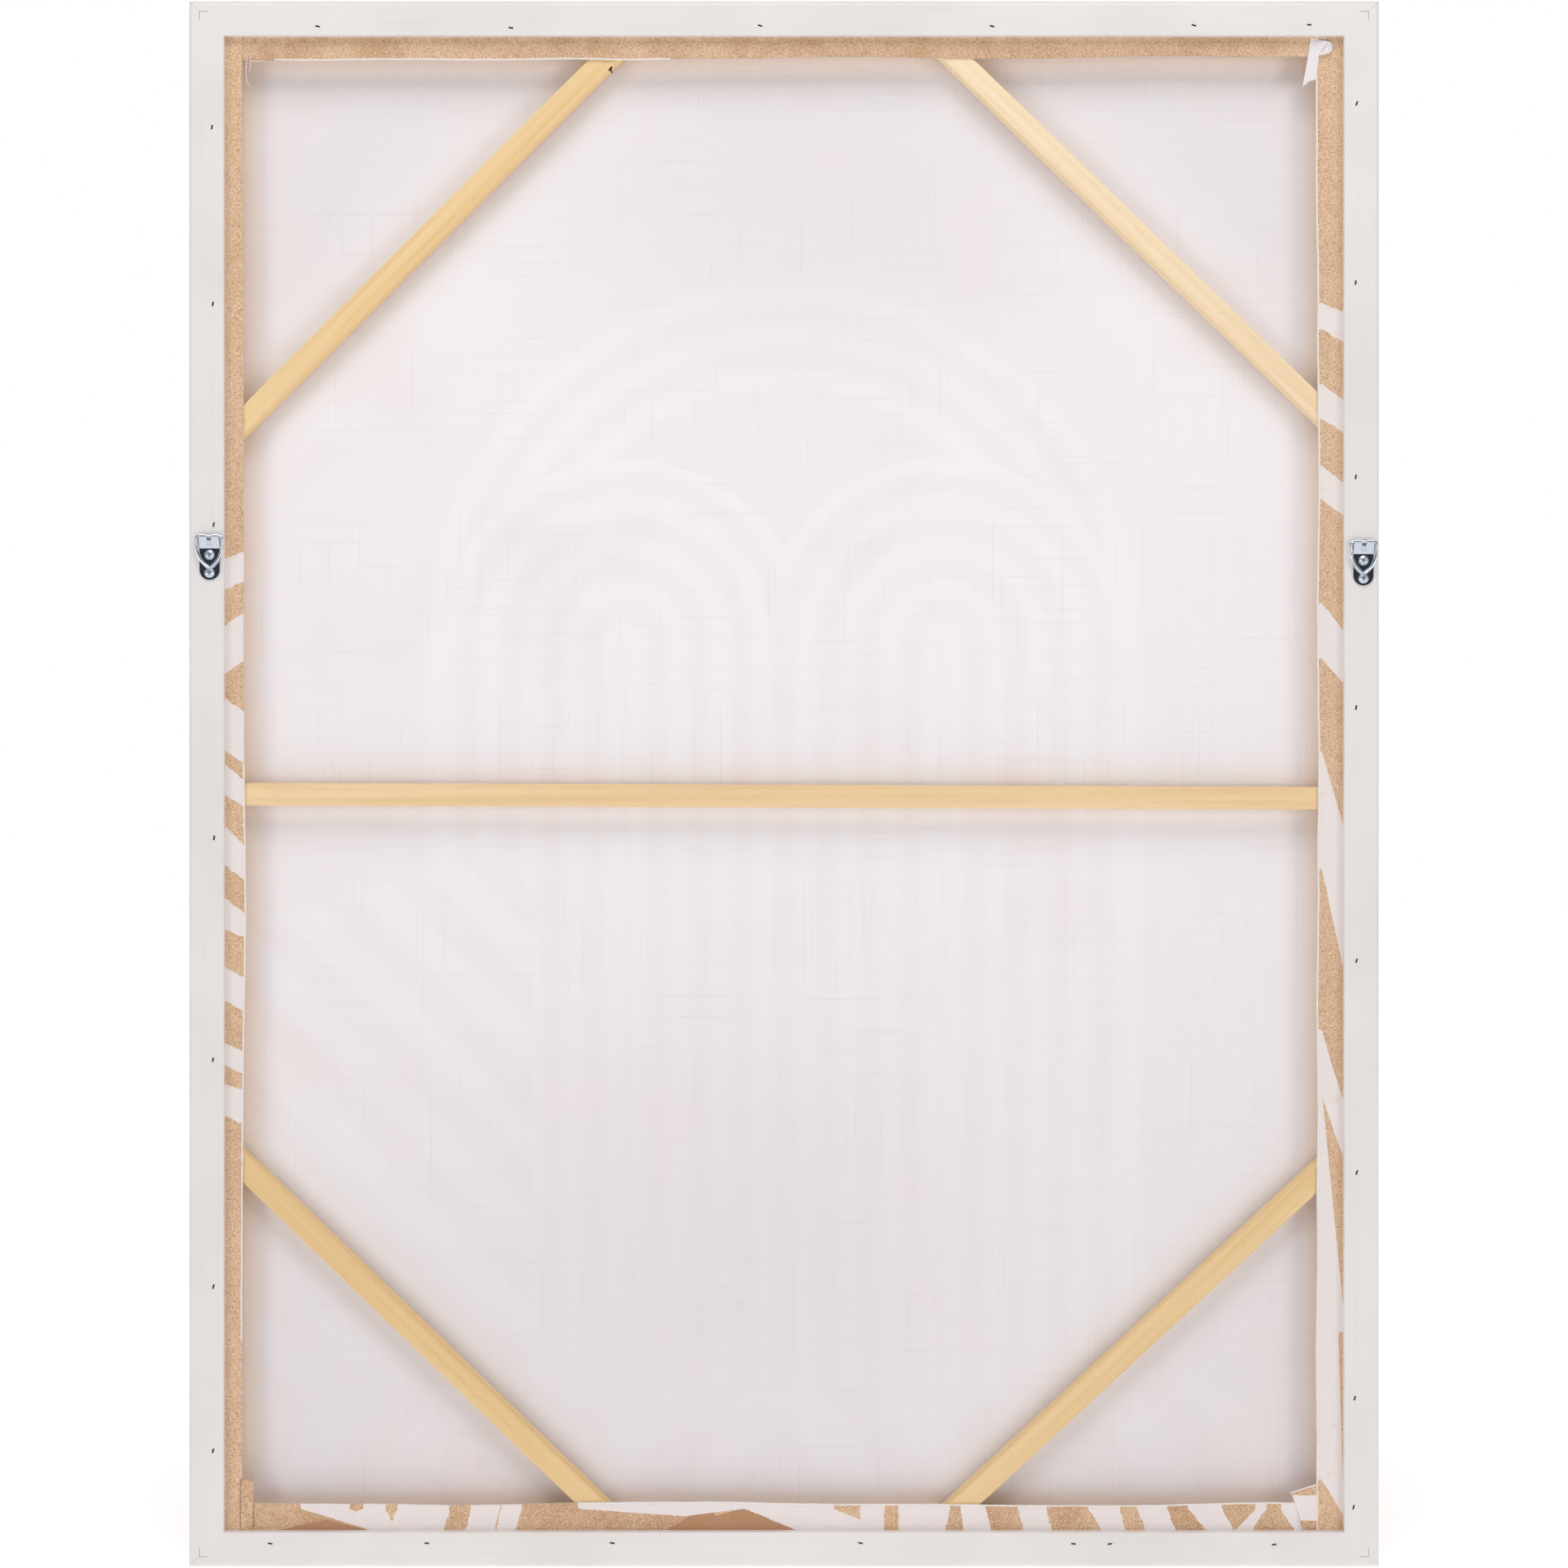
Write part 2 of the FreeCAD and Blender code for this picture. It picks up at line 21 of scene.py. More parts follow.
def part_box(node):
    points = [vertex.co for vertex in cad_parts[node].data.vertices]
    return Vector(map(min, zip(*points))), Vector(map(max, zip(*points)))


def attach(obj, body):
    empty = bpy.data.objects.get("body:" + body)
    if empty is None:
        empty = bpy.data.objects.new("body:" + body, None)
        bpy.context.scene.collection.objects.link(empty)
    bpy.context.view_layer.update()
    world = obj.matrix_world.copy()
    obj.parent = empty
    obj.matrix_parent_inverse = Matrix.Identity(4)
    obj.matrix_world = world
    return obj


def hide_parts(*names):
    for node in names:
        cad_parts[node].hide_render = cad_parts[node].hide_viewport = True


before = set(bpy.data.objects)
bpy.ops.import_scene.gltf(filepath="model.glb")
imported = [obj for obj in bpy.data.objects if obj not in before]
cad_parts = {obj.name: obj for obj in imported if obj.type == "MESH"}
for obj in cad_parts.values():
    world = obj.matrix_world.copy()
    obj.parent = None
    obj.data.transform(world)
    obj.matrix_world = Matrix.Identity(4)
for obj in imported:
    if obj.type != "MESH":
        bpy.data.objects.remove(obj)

LOG = logging.getLogger("canvas")
MM = 0.001
Colour = tuple[float, float, float]
SIDES = ("top", "bottom", "left", "right")
BRACES = ("brace_top_left", "brace_top_right", "brace_bottom_left", "brace_bottom_right", "crossbar")


def linear(red: int, green: int, blue: int) -> Colour:
    """A display colour, 0 to 255, as linear light."""
    def one(level: int) -> float:
        """One channel."""
        c = level / 255
        return c / 12.92 if c <= 0.04045 else ((c + 0.055) / 1.055) ** 2.4
    return one(red), one(green), one(blue)


class Value:
    """A shader socket that holds a number and takes part in Python expressions."""

    def __init__(self, shader: Shader, socket: bpy.types.NodeSocket) -> None:
        """Wrap a socket of a shader's tree."""
        self.shader = shader
        self.socket = socket

    def _math(self, operation: str, *others: Value | float) -> Value:
        """Add a Math node.

        Args:
            operation: The Math node's operation.
            others: Its further inputs.

        Returns:
            The node's result.
        """
        inputs = {i: item for i, item in enumerate((self, *others))}
        return self.shader.value("ShaderNodeMath", {"operation": operation}, inputs)

    def _reflected(self, operation: str, other: float) -> Value:
        """Add a Math node with a number first and this value second."""
        return self.shader.value("ShaderNodeMath", {"operation": operation}, {0: other, 1: self})

    def __add__(self, other: Value | float) -> Value:
        """Sum."""
        return self._math("ADD", other)

    def __radd__(self, other: float) -> Value:
        """Sum, with the number first."""
        return self._reflected("ADD", other)

    def __sub__(self, other: Value | float) -> Value:
        """Difference."""
        return self._math("SUBTRACT", other)

    def __rsub__(self, other: float) -> Value:
        """Difference, with the number first."""
        return self._reflected("SUBTRACT", other)

    def __mul__(self, other: Value | float) -> Value:
        """Product."""
        return self._math("MULTIPLY", other)

    def __rmul__(self, other: float) -> Value:
        """Product, with the number first."""
        return self._reflected("MULTIPLY", other)

    def __truediv__(self, other: Value | float) -> Value:
        """Quotient."""
        return self._math("DIVIDE", other)

    def __rtruediv__(self, other: float) -> Value:
        """Quotient, with the number first."""
        return self._reflected("DIVIDE", other)

    def __pow__(self, other: float) -> Value:
        """Power."""
        return self._math("POWER", other)

    def __abs__(self) -> Value:
        """Size without sign."""
        return self._math("ABSOLUTE")

    def sine(self) -> Value:
        """Sine of the value in radians."""
        return self._math("SINE")

    def least(self, other: Value | float) -> Value:
        """The smaller of two."""
        return self._math("MINIMUM", other)

    def most(self, other: Value | float) -> Value:
        """The larger of two."""
        return self._math("MAXIMUM", other)

    def over(self, other: Value | float) -> Value:
        """1 where the value is above other, else 0."""
        return self._math("GREATER_THAN", other)

    def step(self, low: float, high: float) -> Value:
        """A smooth step from 0 to 1.

        Args:
            low: Where it is 0.
            high: Where it is 1. It may be below low, which turns the step round.

        Returns:
            The stepped value, kept from 0 to 1.
        """
        settings = {"interpolation_type": "SMOOTHSTEP", "clamp": True}
        ends = (low, high, 0.0, 1.0) if low < high else (high, low, 1.0, 0.0)
        names = ("From Min", "From Max", "To Min", "To Max")
        inputs: dict = {"Value": self, **dict(zip(names, ends))}
        return self.shader.value("ShaderNodeMapRange", settings, inputs)

    def near(self, centre: float, half: float, soft: float) -> Value:
        """1 within half of centre, fading out over soft."""
        return abs(self - centre).step(half + soft, half)


Input = Value | float | Sequence[float] | bpy.types.NodeSocket


class Shader:
    """One material's tree, with the few ways that a finish adds to it."""

    def __init__(self, name: str) -> None:
        """Start a material that holds one Principled shader."""
        self.material = bpy.data.materials.new(name)
        self.material.use_nodes = True
        self.tree = self.material.node_tree
        self.surface = self.tree.nodes["Principled BSDF"]

    def node(self, kind: str, settings: dict | None = None, inputs: dict | None = None) -> bpy.types.Node:
        """Add any node.

        Args:
            kind: The node's type.
            settings: Its properties, and "stops" for a ramp, as (place, colour) pairs.
            inputs: Its sockets' values or links, by name or number.

        Returns:
            The node.
        """
        made = self.tree.nodes.new(kind)
        for name, setting in (settings or {}).items():
            if name == "stops":
                ramp = made.color_ramp.elements
                while len(ramp) < len(setting):
                    ramp.new(1.0)
                for element, (place, colour) in zip(ramp, setting):
                    element.position = place
                    element.color = (*colour, 1.0)
            elif name == "interpolation":
                made.color_ramp.interpolation = setting
            else:
                setattr(made, name, setting)
        for key, given in (inputs or {}).items():
            self.feed(made.inputs[key], given)
        return made

    def feed(self, socket: bpy.types.NodeSocket, given: Input) -> None:
        """Link or set one input socket."""
        if isinstance(given, Value):
            self.tree.links.new(given.socket, socket)
        elif isinstance(given, bpy.types.NodeSocket):
            self.tree.links.new(given, socket)
        elif isinstance(given, (tuple, list)) and len(given) == 3 and socket.type == "RGBA":
            socket.default_value = (*given, 1.0)
        else:
            socket.default_value = given

    def value(self, kind: str, settings: dict | None = None, inputs: dict | None = None,
              output: str | int = 0) -> Value:
        """Add a node and wrap one of its outputs as a number."""
        return Value(self, self.node(kind, settings, inputs).outputs[output])

    def place(self) -> bpy.types.NodeSocket:
        """The point on the surface, in metres."""
        return self.node("ShaderNodeTexCoord").outputs["Object"]

    def axes(self, vector: bpy.types.NodeSocket) -> tuple[Value, Value, Value]:
        """A vector's three numbers."""
        split = self.node("ShaderNodeSeparateXYZ", None, {0: vector})
        return tuple(Value(self, split.outputs[i]) for i in range(3))

    def vector(self, x: Value | float, y: Value | float, z: Value | float) -> bpy.types.NodeSocket:
        """A vector from three numbers."""
        return self.node("ShaderNodeCombineXYZ", None, {0: x, 1: y, 2: z}).outputs[0]

    def scaled(self, vector: bpy.types.NodeSocket, by: Sequence[float], turn: float = 0.0,
               shift: Sequence[float] = (0.0, 0.0, 0.0)) -> bpy.types.NodeSocket:
        """A vector turned about Y, then scaled by three numbers and shifted.

        Args:
            vector: The vector.
            by: The scale on each axis.
            turn: The turn, in radians.
            shift: Added last.

        Returns:
            The new vector.
        """
        turned = self.node("ShaderNodeVectorRotate", {"rotation_type": "Y_AXIS"},
                           {"Vector": vector, "Angle": turn}).outputs[0] if turn else vector
        large = self.node("ShaderNodeVectorMath", {"operation": "MULTIPLY"}, {0: turned, 1: by})
        return self.node("ShaderNodeVectorMath", {"operation": "ADD"},
                         {0: large.outputs[0], 1: shift}).outputs[0]

    def noise(self, vector: bpy.types.NodeSocket, scale: float, detail: float = 3.0,
              rough: float = 0.5, distortion: float = 0.0) -> Value:
        """Fractal noise from 0 to 1, mostly near 0.5."""
        inputs = {"Vector": vector, "Scale": scale, "Detail": detail, "Roughness": rough,
                  "Distortion": distortion}
        return self.value("ShaderNodeTexNoise", None, inputs)

    def cells(self, vector: bpy.types.NodeSocket, scale: float) -> Value:
        """The distance to the nearest of many scattered points."""
        return self.value("ShaderNodeTexVoronoi", None, {"Vector": vector, "Scale": scale})

    def mix(self, factor: Value | float, first: Input, second: Input,
            blend: str = "MIX") -> bpy.types.NodeSocket:
        """Two colours mixed.

        Args:
            factor: 0 for the first and 1 for the second.
            first: A colour or link.
            second: A colour or link.
            blend: The Mix node's blend type.

        Returns:
            The mixed colour's socket.
        """
        made = self.node("ShaderNodeMix", {"data_type": "RGBA", "blend_type": blend})
        self.feed(made.inputs[0], factor)
        self.feed(made.inputs[6], first)
        self.feed(made.inputs[7], second)
        return made.outputs[2]

    def ramp(self, value: Value, stops: Sequence[tuple[float, Colour]],
             interpolation: str = "LINEAR") -> bpy.types.Node:
        """A ramp of colours."""
        settings = {"interpolation": interpolation, "stops": stops}
        return self.node("ShaderNodeValToRGB", settings, {"Fac": value})

    def bump(self, height: Value, strength: float, distance: float,
             under: bpy.types.NodeSocket | None = None) -> bpy.types.NodeSocket:
        """Relief from a height.

        Args:
            height: The height, in units of distance.
            strength: From 0 to 1.
            distance: How deep a height of 1 is, in metres.
            under: A normal that this one adds to.

        Returns:
            The normal's socket.
        """
        inputs: dict = {"Height": height, "Strength": strength, "Distance": distance}
        if under is not None:
            inputs["Normal"] = under
        return self.node("ShaderNodeBump", None, inputs).outputs[0]

    def finish(self, colour: Input, roughness: Value | float, normal: bpy.types.NodeSocket | None = None,
               metallic: float = 0.0, **fixed: Input) -> bpy.types.Material:
        """Set the Principled shader.

        Args:
            colour: Base colour.
            roughness: Roughness.
            normal: The bumped normal, if there is one.
            metallic: 0 or 1.
            fixed: Other sockets by name, with spaces as underscores.

        Returns:
            The finished material.
        """
        self.feed(self.surface.inputs["Base Color"], colour)
        self.feed(self.surface.inputs["Roughness"], roughness)
        self.surface.inputs["Metallic"].default_value = metallic
        if normal is not None:
            self.feed(self.surface.inputs["Normal"], normal)
        for name, given in fixed.items():
            self.feed(self.surface.inputs[name.replace("_", " ")], given)
        return self.material


def corners(node: str) -> tuple[Vector, Vector]:
    """A CAD node's lowest and highest corner."""
    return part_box(node)


@dataclass(frozen=True)
class Layout:
    """Where the frame, the panel and its opening lie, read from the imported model."""

    low: Vector
    high: Vector
    panel_low: Vector
    panel_high: Vector
    open_low: Vector
    open_high: Vector
    flange: float
    cloth: float
    tail: float
    tail_y: float

    @classmethod
    def read(cls) -> Layout:
        """Work the layout out of the CAD nodes' boxes."""
        rails = [corners(f"frame_rail_{side}") for side in SIDES]
        low = Vector([min(box[0][i] for box in rails) for i in range(3)])
        high = Vector([max(box[1][i] for box in rails) for i in range(3)])
        face = corners("canvas_face")
        left, right = corners("stretcher_bar_left"), corners("stretcher_bar_right")
        bottom, top = corners("stretcher_bar_bottom"), corners("stretcher_bar_top")
        wrap = corners("canvas_wrap_top")
        return cls(
            low=low, high=high, panel_low=face[0], panel_high=face[1],
            open_low=Vector((left[1].x, left[0].y, bottom[1].z)),
            open_high=Vector((right[0].x, left[1].y, top[0].z)),
            flange=corners("frame_rail_bottom")[1].z, cloth=face[1].y - face[0].y,
            tail=wrap[1].z - wrap[0].z, tail_y=wrap[1].y)

    @property
    def middle(self) -> Vector:
        """The middle of the whole frame."""
        return (self.low + self.high) / 2


@dataclass(frozen=True)
class FramePaint:
    """Off-white satin paint, rolled over planed wood, with its mitres just showing."""

    layout: Layout
    colour: Colour = linear(236, 231, 229)
    shade: Colour = linear(226, 220, 217)
    seam: Colour = linear(188, 180, 174)
    rough: float = 0.42

    def material(self, upright: bool) -> bpy.types.Material:
        """Make the paint for a pair of rails.

        Args:
            upright: True for the side rails, whose grain runs up.

        Returns:
            The material.
        """
        s = Shader("frame_paint_upright" if upright else "frame_paint_level")
        at = s.place()
        x, _y, z = s.axes(at)
        along = (6.0, 260.0, 260.0) if not upright else (260.0, 260.0, 6.0)
        grain = s.noise(s.scaled(at, along), 1.0, 4.0, 0.6)
        cloud = s.noise(at, 9.0, 2.0)
        peel = s.noise(at, 620.0, 2.0)
        high, middle = self.layout.high, self.layout.middle
        in_x = (high.x - middle.x) - abs(x - middle.x)
        in_z = (high.z - middle.z) - abs(z - middle.z)
        off = abs(in_x - in_z)
        wear_and_shade = s.noise(at, 55.0, 2.0)
        fade = in_x.step(0.012, 0.007) * 0.75 + 0.12
        mitre = off.step(0.00045, 0.00012) * wear_and_shade.step(0.3, 0.6) * fade
        colour = s.mix(cloud.step(0.35, 0.7) * 0.5 + grain.step(0.45, 0.75) * 0.25, self.colour, self.shade)
        colour = s.mix(mitre * 0.8, colour, self.seam)
        height = grain * 0.5 + peel * 0.25 - mitre * 1.6
        return s.finish(colour, self.rough + peel * 0.12, s.bump(height, 0.35, 0.00012),
                        Coat_Weight=0.08, Coat_Roughness=0.3)


class PineTone(Enum):
    """How pale each cut of pine is, as a display colour."""

    HONEY = (240, 206, 153)
    CREAM = (246, 220, 182)
    STRAW = (233, 199, 145)
    AMBER = (234, 201, 148)
    SAND = (240, 208, 160)


@dataclass(frozen=True)
class Pine:
    """Pale planed pine, its grain running along the piece."""

    name: str
    turn: float
    seed: float
    tone: PineTone = PineTone.SAND
    knots: float = 0.0

    def cut(self, by: int) -> Colour:
        """The tone made lighter or darker, and darker in blue most."""
        red, green, blue = self.tone.value
        return linear(min(255, red + by), min(255, int(green + by * 1.4)), min(255, int(blue + by * 2.0)))

    def material(self) -> bpy.types.Material:
        """Make the wood for one piece, whose length lies at turn from the row's X."""
        s = Shader(self.name)
        at = s.place()
        shift = (self.seed * 3.1, self.seed * 1.7, self.seed * 5.3)
        lie = s.scaled(at, (1.0, 1.0, 1.0), self.turn, shift)
        bend = s.noise(s.scaled(lie, (1.6, 9.0, 9.0)), 1.0, 2.0)
        _x, y, z = s.axes(lie)
        across = z + y * 0.7 + bend * 0.03
        rings = (across * 760.0 + bend * 6.0).sine() * 0.5 + 0.5
        late = rings ** 3.0
        fibre = s.noise(s.scaled(lie, (16.0, 1100.0, 1100.0)), 1.0, 4.0, 0.65)
        streak = s.noise(s.scaled(lie, (2.2, 90.0, 90.0)), 1.0, 3.0)
        cloud = s.noise(lie, 9.0, 2.0)
        flecks = s.noise(s.scaled(lie, (120.0, 2100.0, 2100.0)), 1.0, 2.0).step(0.64, 0.76)
        colour = s.mix(streak.step(0.30, 0.70), self.cut(5), self.cut(-4))
        colour = s.mix(late * 0.30 * cloud.step(0.30, 0.70), colour, self.cut(-16))
        colour = s.mix(fibre.step(0.5, 0.8) * 0.30, colour, self.cut(-20))
        colour = s.mix(flecks * 0.30, colour, linear(168, 122, 76))
        if self.knots:
            knot = s.cells(s.scaled(lie, (3.0, 14.0, 14.0)), 1.0).step(0.10, 0.03)
            colour = s.mix(knot * self.knots, colour, linear(176, 122, 70))
        height = fibre * 0.8 - late * 0.4 - flecks * 0.5
        return s.finish(colour, 0.55 + fibre * 0.2, s.bump(height, 0.5, 0.0002))


class Metal(Enum):
    """The metals of the fixings: colour, roughness and how mottled each is."""

    ZINC = (linear(206, 214, 226), 0.09, 0.04)
    RING = (linear(228, 233, 240), 0.12, 0.03)
    SCREW = (linear(206, 213, 223), 0.30, 0.06)
    BRAD = (linear(60, 53, 47), 0.55, 0.20)
    NAIL = (linear(176, 170, 165), 0.50, 0.12)


@dataclass(frozen=True)
class Plate:
    """Plated or plain metal with fine scratches and a mottled sheen."""

    metal: Metal

    def material(self) -> bpy.types.Material:
        """Make the metal."""
        colour, rough, mottle = self.metal.value
        s = Shader(f"metal_{self.metal.name.lower()}")
        at = s.place()
        cloud = s.noise(at, 420.0, 3.0)
        fine = s.noise(s.scaled(at, (900.0, 4200.0, 4200.0)), 1.0, 2.0)
        spots = s.cells(at, 900.0)
        dull = tuple(c * 0.55 for c in colour)
        shown = s.mix(cloud.step(0.42, 0.72) * (mottle * 3.0), colour, dull)
        shown = s.mix(spots.step(0.12, 0.04) * (mottle * 2.0), shown, dull)
        height = fine * 0.5 + cloud
        return s.finish(shown, rough + cloud * mottle + fine * 0.05, s.bump(height, 0.15, 0.00006), 1.0)


@dataclass(frozen=True)
class Stroke:
    """A band of paint across a tail, between two straight edges.

    near_start and near_end are where its edges leave the frame's flange, and far_start
    and far_end where they are at reach, in millimetres along the tail. Past reach they
    run square across.
    """

    near_start: float
    near_end: float
    far_start: float
    far_end: float
    reach: float = 1.0

    def over(self, along: Value, across: Value) -> Value:
        """Where the band lies.

        Args:
            along: Millimetres along the tail.
            across: 0 at the flange and 1 at the cut edge.

        Returns:
            1 inside the band.
        """
        share = (across / self.reach).least(1.0)
        first = along - (share * (self.far_start - self.near_start) + self.near_start)
        last = (share * (self.far_end - self.near_end) + self.near_end) - along
        return first.least(last).over(0.0)


WHITE = {
    "top": (),
    "right": (Stroke(780, 805, 788, 812), Stroke(713, 752, 725, 763), Stroke(651, 693, 641, 683),
              Stroke(616, 640, 606, 628), Stroke(559, 590, 547, 574), Stroke(508, 535, 501, 521),
              Stroke(451, 478, 442, 469), Stroke(400, 418, 392, 410), Stroke(359, 385, 352, 379)),
    "left": (Stroke(979, 1003, 989, 1010), Stroke(905, 931, 916, 944), Stroke(840, 866, 853, 879),
             Stroke(706, 748, 725, 770), Stroke(479, 592, 557, 651), Stroke(327, 372, 375, 429),
             Stroke(40, 64, 68, 100), Stroke(60, 66, 70, 188, 0.22), Stroke(186, 208, 186, 380)),
    "bottom": (Stroke(272, 331, 268, 387), Stroke(215, 254, 210, 250), Stroke(-80, -9, -81, 31),
               Stroke(-129, -92, -133, -92), Stroke(-165, -144, -161, -141), Stroke(-214, -192, -210, -188),
               Stroke(-274, -254, -269, -244), Stroke(-313, -289, -306, -283), Stroke(-374, -337, -386, -323),
               Stroke(-416, -408, -416, -398), Stroke(171, -78, 31, 165)),
}
SAND = {
    "top": (),
    "right": (),
    "left": (),
    "bottom": (Stroke(230, 231, 226, 227), Stroke(-61.5, -82.6, -61.5, -40.4), Stroke(-361, -360, -377, -350),
               Stroke(316.5, 310.5, 308, 317.5), Stroke(390, 290, 336, 348)),
}
BROWN = {
    "top": (),
    "right": (),
    "left": (),
    "bottom": (Stroke(-9, 95, 31, 34), Stroke(30, 95, 55, 74, 0.72), Stroke(333, 404, 367, 367, 0.5)),
}


@dataclass(frozen=True)
class Artwork:
    """The picture: a sandy ground with white arches, posts and slanting bands, all plain shapes."""

    layout: Layout
    arch_pitch: float = 0.034
    arch_gap: float = 0.128
    centre: float = 0.0
    spring: float = 0.739
    crown: float = 0.245

    def picture(self, s: Shader, soft: float) -> Value:
        """White areas on the face.

        Args:
            s: The shader to add to.
            soft: How soft each edge is, in metres.

        Returns:
            1 where the paint is white.
        """
        at = s.place()
        x, _y, z = s.axes(at)
        wobble = (s.noise(at, 26.0, 3.0) - 0.5) * 0.006
        turns = 2 * math.pi / self.arch_pitch
        edge = soft * turns
        side = abs(x - self.centre)
        rise = (z - self.spring).most(0.0)
        reach = ((side - self.arch_gap) * (side - self.arch_gap) + rise * rise) ** 0.5
        ring = ((reach + wobble) * turns).sine().step(-edge, edge)
        in_arch = (reach + wobble).step(self.crown - 0.1 + soft, self.crown - 0.1)
        above = z.step(0.14 - soft, 0.14)
        arches = ring * in_arch
        outer = (side * side + rise * rise) ** 0.5
        band = ((outer + wobble) * turns).sine().step(-edge, edge)
        in_band = (outer + wobble).near(self.crown, 0.05, soft) * (1.0 - in_arch)
        slant = ((x - z + wobble) * (2 * math.pi / 0.075)).sine().step(-edge * 0.5, edge * 0.5)
        in_slant = (z + side * 0.25).step(0.62 + soft, 0.62) * (x - self.centre).step(0.20, 0.20 + soft)
        standing = (arches + band * in_band).least(1.0) * (1.0 - in_slant)
        lean = (z - 0.12) * 0.62 + side
        stripes = ((lean + wobble) * (2 * math.pi / 0.084)).sine().step(-edge * 0.4, edge * 0.4)
        ground = stripes * (1.0 - above) * z.step(0.02, 0.021)
        return ((standing + slant * in_slant) * above).most(ground).least(1.0)

    def tail(self, s: Shader, side: str) -> tuple[Value | float, Value | float]:
        """The paint on one side and its tail.

        Args:
            s: The shader to add to.
            side: The side's name.

        Returns:
            Where it is white, and where it is plain brown.
        """
        at = s.place()
        x, _y, z = s.axes(at)
        low, high = self.layout.low, self.layout.high
        level = side in ("top", "bottom")
        inward = {"top": high.z - z, "bottom": z - low.z, "left": x - low.x, "right": high.x - x}[side]
        flange = self.layout.flange
        across = (inward - flange) / (self.layout.panel_low.z - low.z + self.layout.tail - flange)
        ragged = (s.noise(at, 150.0, 4.0, 0.7) - 0.5) * 5.0 + (s.noise(at, 24.0, 1.0) - 0.5) * 4.0
        along = (x if level else z) * 1000.0 + ragged

        def painted(strokes: Sequence[Stroke]) -> Value | float:
            """All of these strokes together."""
            total: Value | float = 0.0
            for stroke in strokes:
                total = stroke.over(along, across) + total
            return total.least(1.0) if isinstance(total, Value) else total

        white = painted(WHITE[side])
        sand = painted(SAND[side])
        if isinstance(sand, Value):
            white = white * (1.0 - sand)
        return white, painted(BROWN[side])


# Dark lines on the loose folds: painted shade in creases and beside folded edges, and one seam line.
DarkLine = tuple[tuple[float, float], tuple[float, float], float, float]
SHADE_AND_SEAM = linear(150, 120, 98)


def paint_shade_and_seams(s: Shader, colour: Input, x: Value, z: Value, shade_and_seam_lines: Sequence[DarkLine]) -> Input:
    """Paint dark lines on a colour: painted shade in creases and beside folded edges, and dark seam lines.

    Args:
        s: The shader to add to.
        colour: The colour between the lines.
        x: Metres across.
        z: Metres up.
        shade_and_seam_lines: Each one's two ends, half width and strength.

    Returns:
        The colour with its painted shade and seam lines.
    """
    for (x1, z1), (x2, z2), wide, share in shade_and_seam_lines:
        dx, dz = x2 - x1, z2 - z1
        part = (((x - x1) * dx + (z - z1) * dz) / (dx * dx + dz * dz)).most(0.0).least(1.0)
        off_x, off_z = x - x1 - part * dx, z - z1 - part * dz
        far = (off_x * off_x + off_z * off_z) ** 0.5
        colour = s.mix(far.step(wide, wide * 0.3) * share, colour, SHADE_AND_SEAM)
    return colour


@dataclass(frozen=True)
class PaintedCloth:
    """The painted side: gritty sand-coloured ground, with flat white paint over parts of it."""

    layout: Layout
    sand: Colour = linear(222, 186, 152)
    deep: Colour = linear(196, 154, 116)
    grit: Colour = linear(150, 108, 74)
    pale: Colour = linear(240, 214, 186)
    white: Colour = linear(236, 226, 223)
    brown: Colour = linear(180, 134, 98)

    def material(self, part: str, band: tuple[float, float] | None = None,
                 shade_and_seam_lines: Sequence[DarkLine] = ()) -> bpy.types.Material:
        """Make the paint.

        Args:
            part: "face", the name of a side, or "fold" for a loose corner.
            band: The heights between which a fold is white, in metres.
            shade_and_seam_lines: Lines of painted shade, and at one fold a seam line, each by its two ends,
                its half width and its strength, in metres.

        Returns:
            The material.
        """
        kind = "_banded" if band else "_creased" if shade_and_seam_lines else ""
        s = Shader(f"painted_cloth_{part}{kind}")
        at = s.place()
        x, _y, z = s.axes(at)
        art = Artwork(self.layout)
        if part == "face":
            white, brown = art.picture(s, 0.0004), 0.0
        elif part == "fold":
            white = 0.0 if band is None else ((z - band[0]) * (band[1] - z)).over(0.0)
            brown = 0.0
        else:
            white, brown = art.tail(s, part)
        cloud = s.noise(at, 24.0, 3.0)
        grain = s.noise(at, 620.0, 3.0, 0.75)
        crumb = s.noise(at, 250.0, 3.0, 0.7)
        specks = s.cells(at, 330.0)
        shaded = part in ("top", "bottom", "fold")
        colour = s.mix(cloud.step(0.3, 0.72) * (0.85 if shaded else 0.2), self.sand, self.deep)
        colour = s.mix(grain.step(0.50, 0.34) * 0.62, colour, self.grit)
        colour = s.mix(grain.step(0.52, 0.66) * 0.70, colour, self.pale)
        colour = s.mix(crumb.step(0.55, 0.68) * 0.24, colour, self.grit)
        colour = s.mix(crumb.step(0.45, 0.34) * 0.30, colour, self.pale)
        colour = s.mix(specks.step(0.20, 0.10) * cloud.step(0.4, 0.6) * 0.45, colour, self.grit)
        colour = s.mix(brown * (0.85 + grain * 0.1) if isinstance(brown, Value) else brown,
                       colour, self.brown)
        thin = s.noise(at, 90.0, 3.0).step(0.62, 0.8) * 0.25
        white = white * (1.0 - thin) if isinstance(white, Value) else thin * white
        # Painted shade and seam lines on a loose fold, where it has any.
        colour = paint_shade_and_seams(s, s.mix(white, colour, self.white), x, z, shade_and_seam_lines)
        height = (grain * 0.7 + crumb * 0.8) * (1.0 - white * 0.6) + white * 0.35
        return s.finish(colour, 0.82 - white * 0.12, s.bump(height, 0.6, 0.0004))


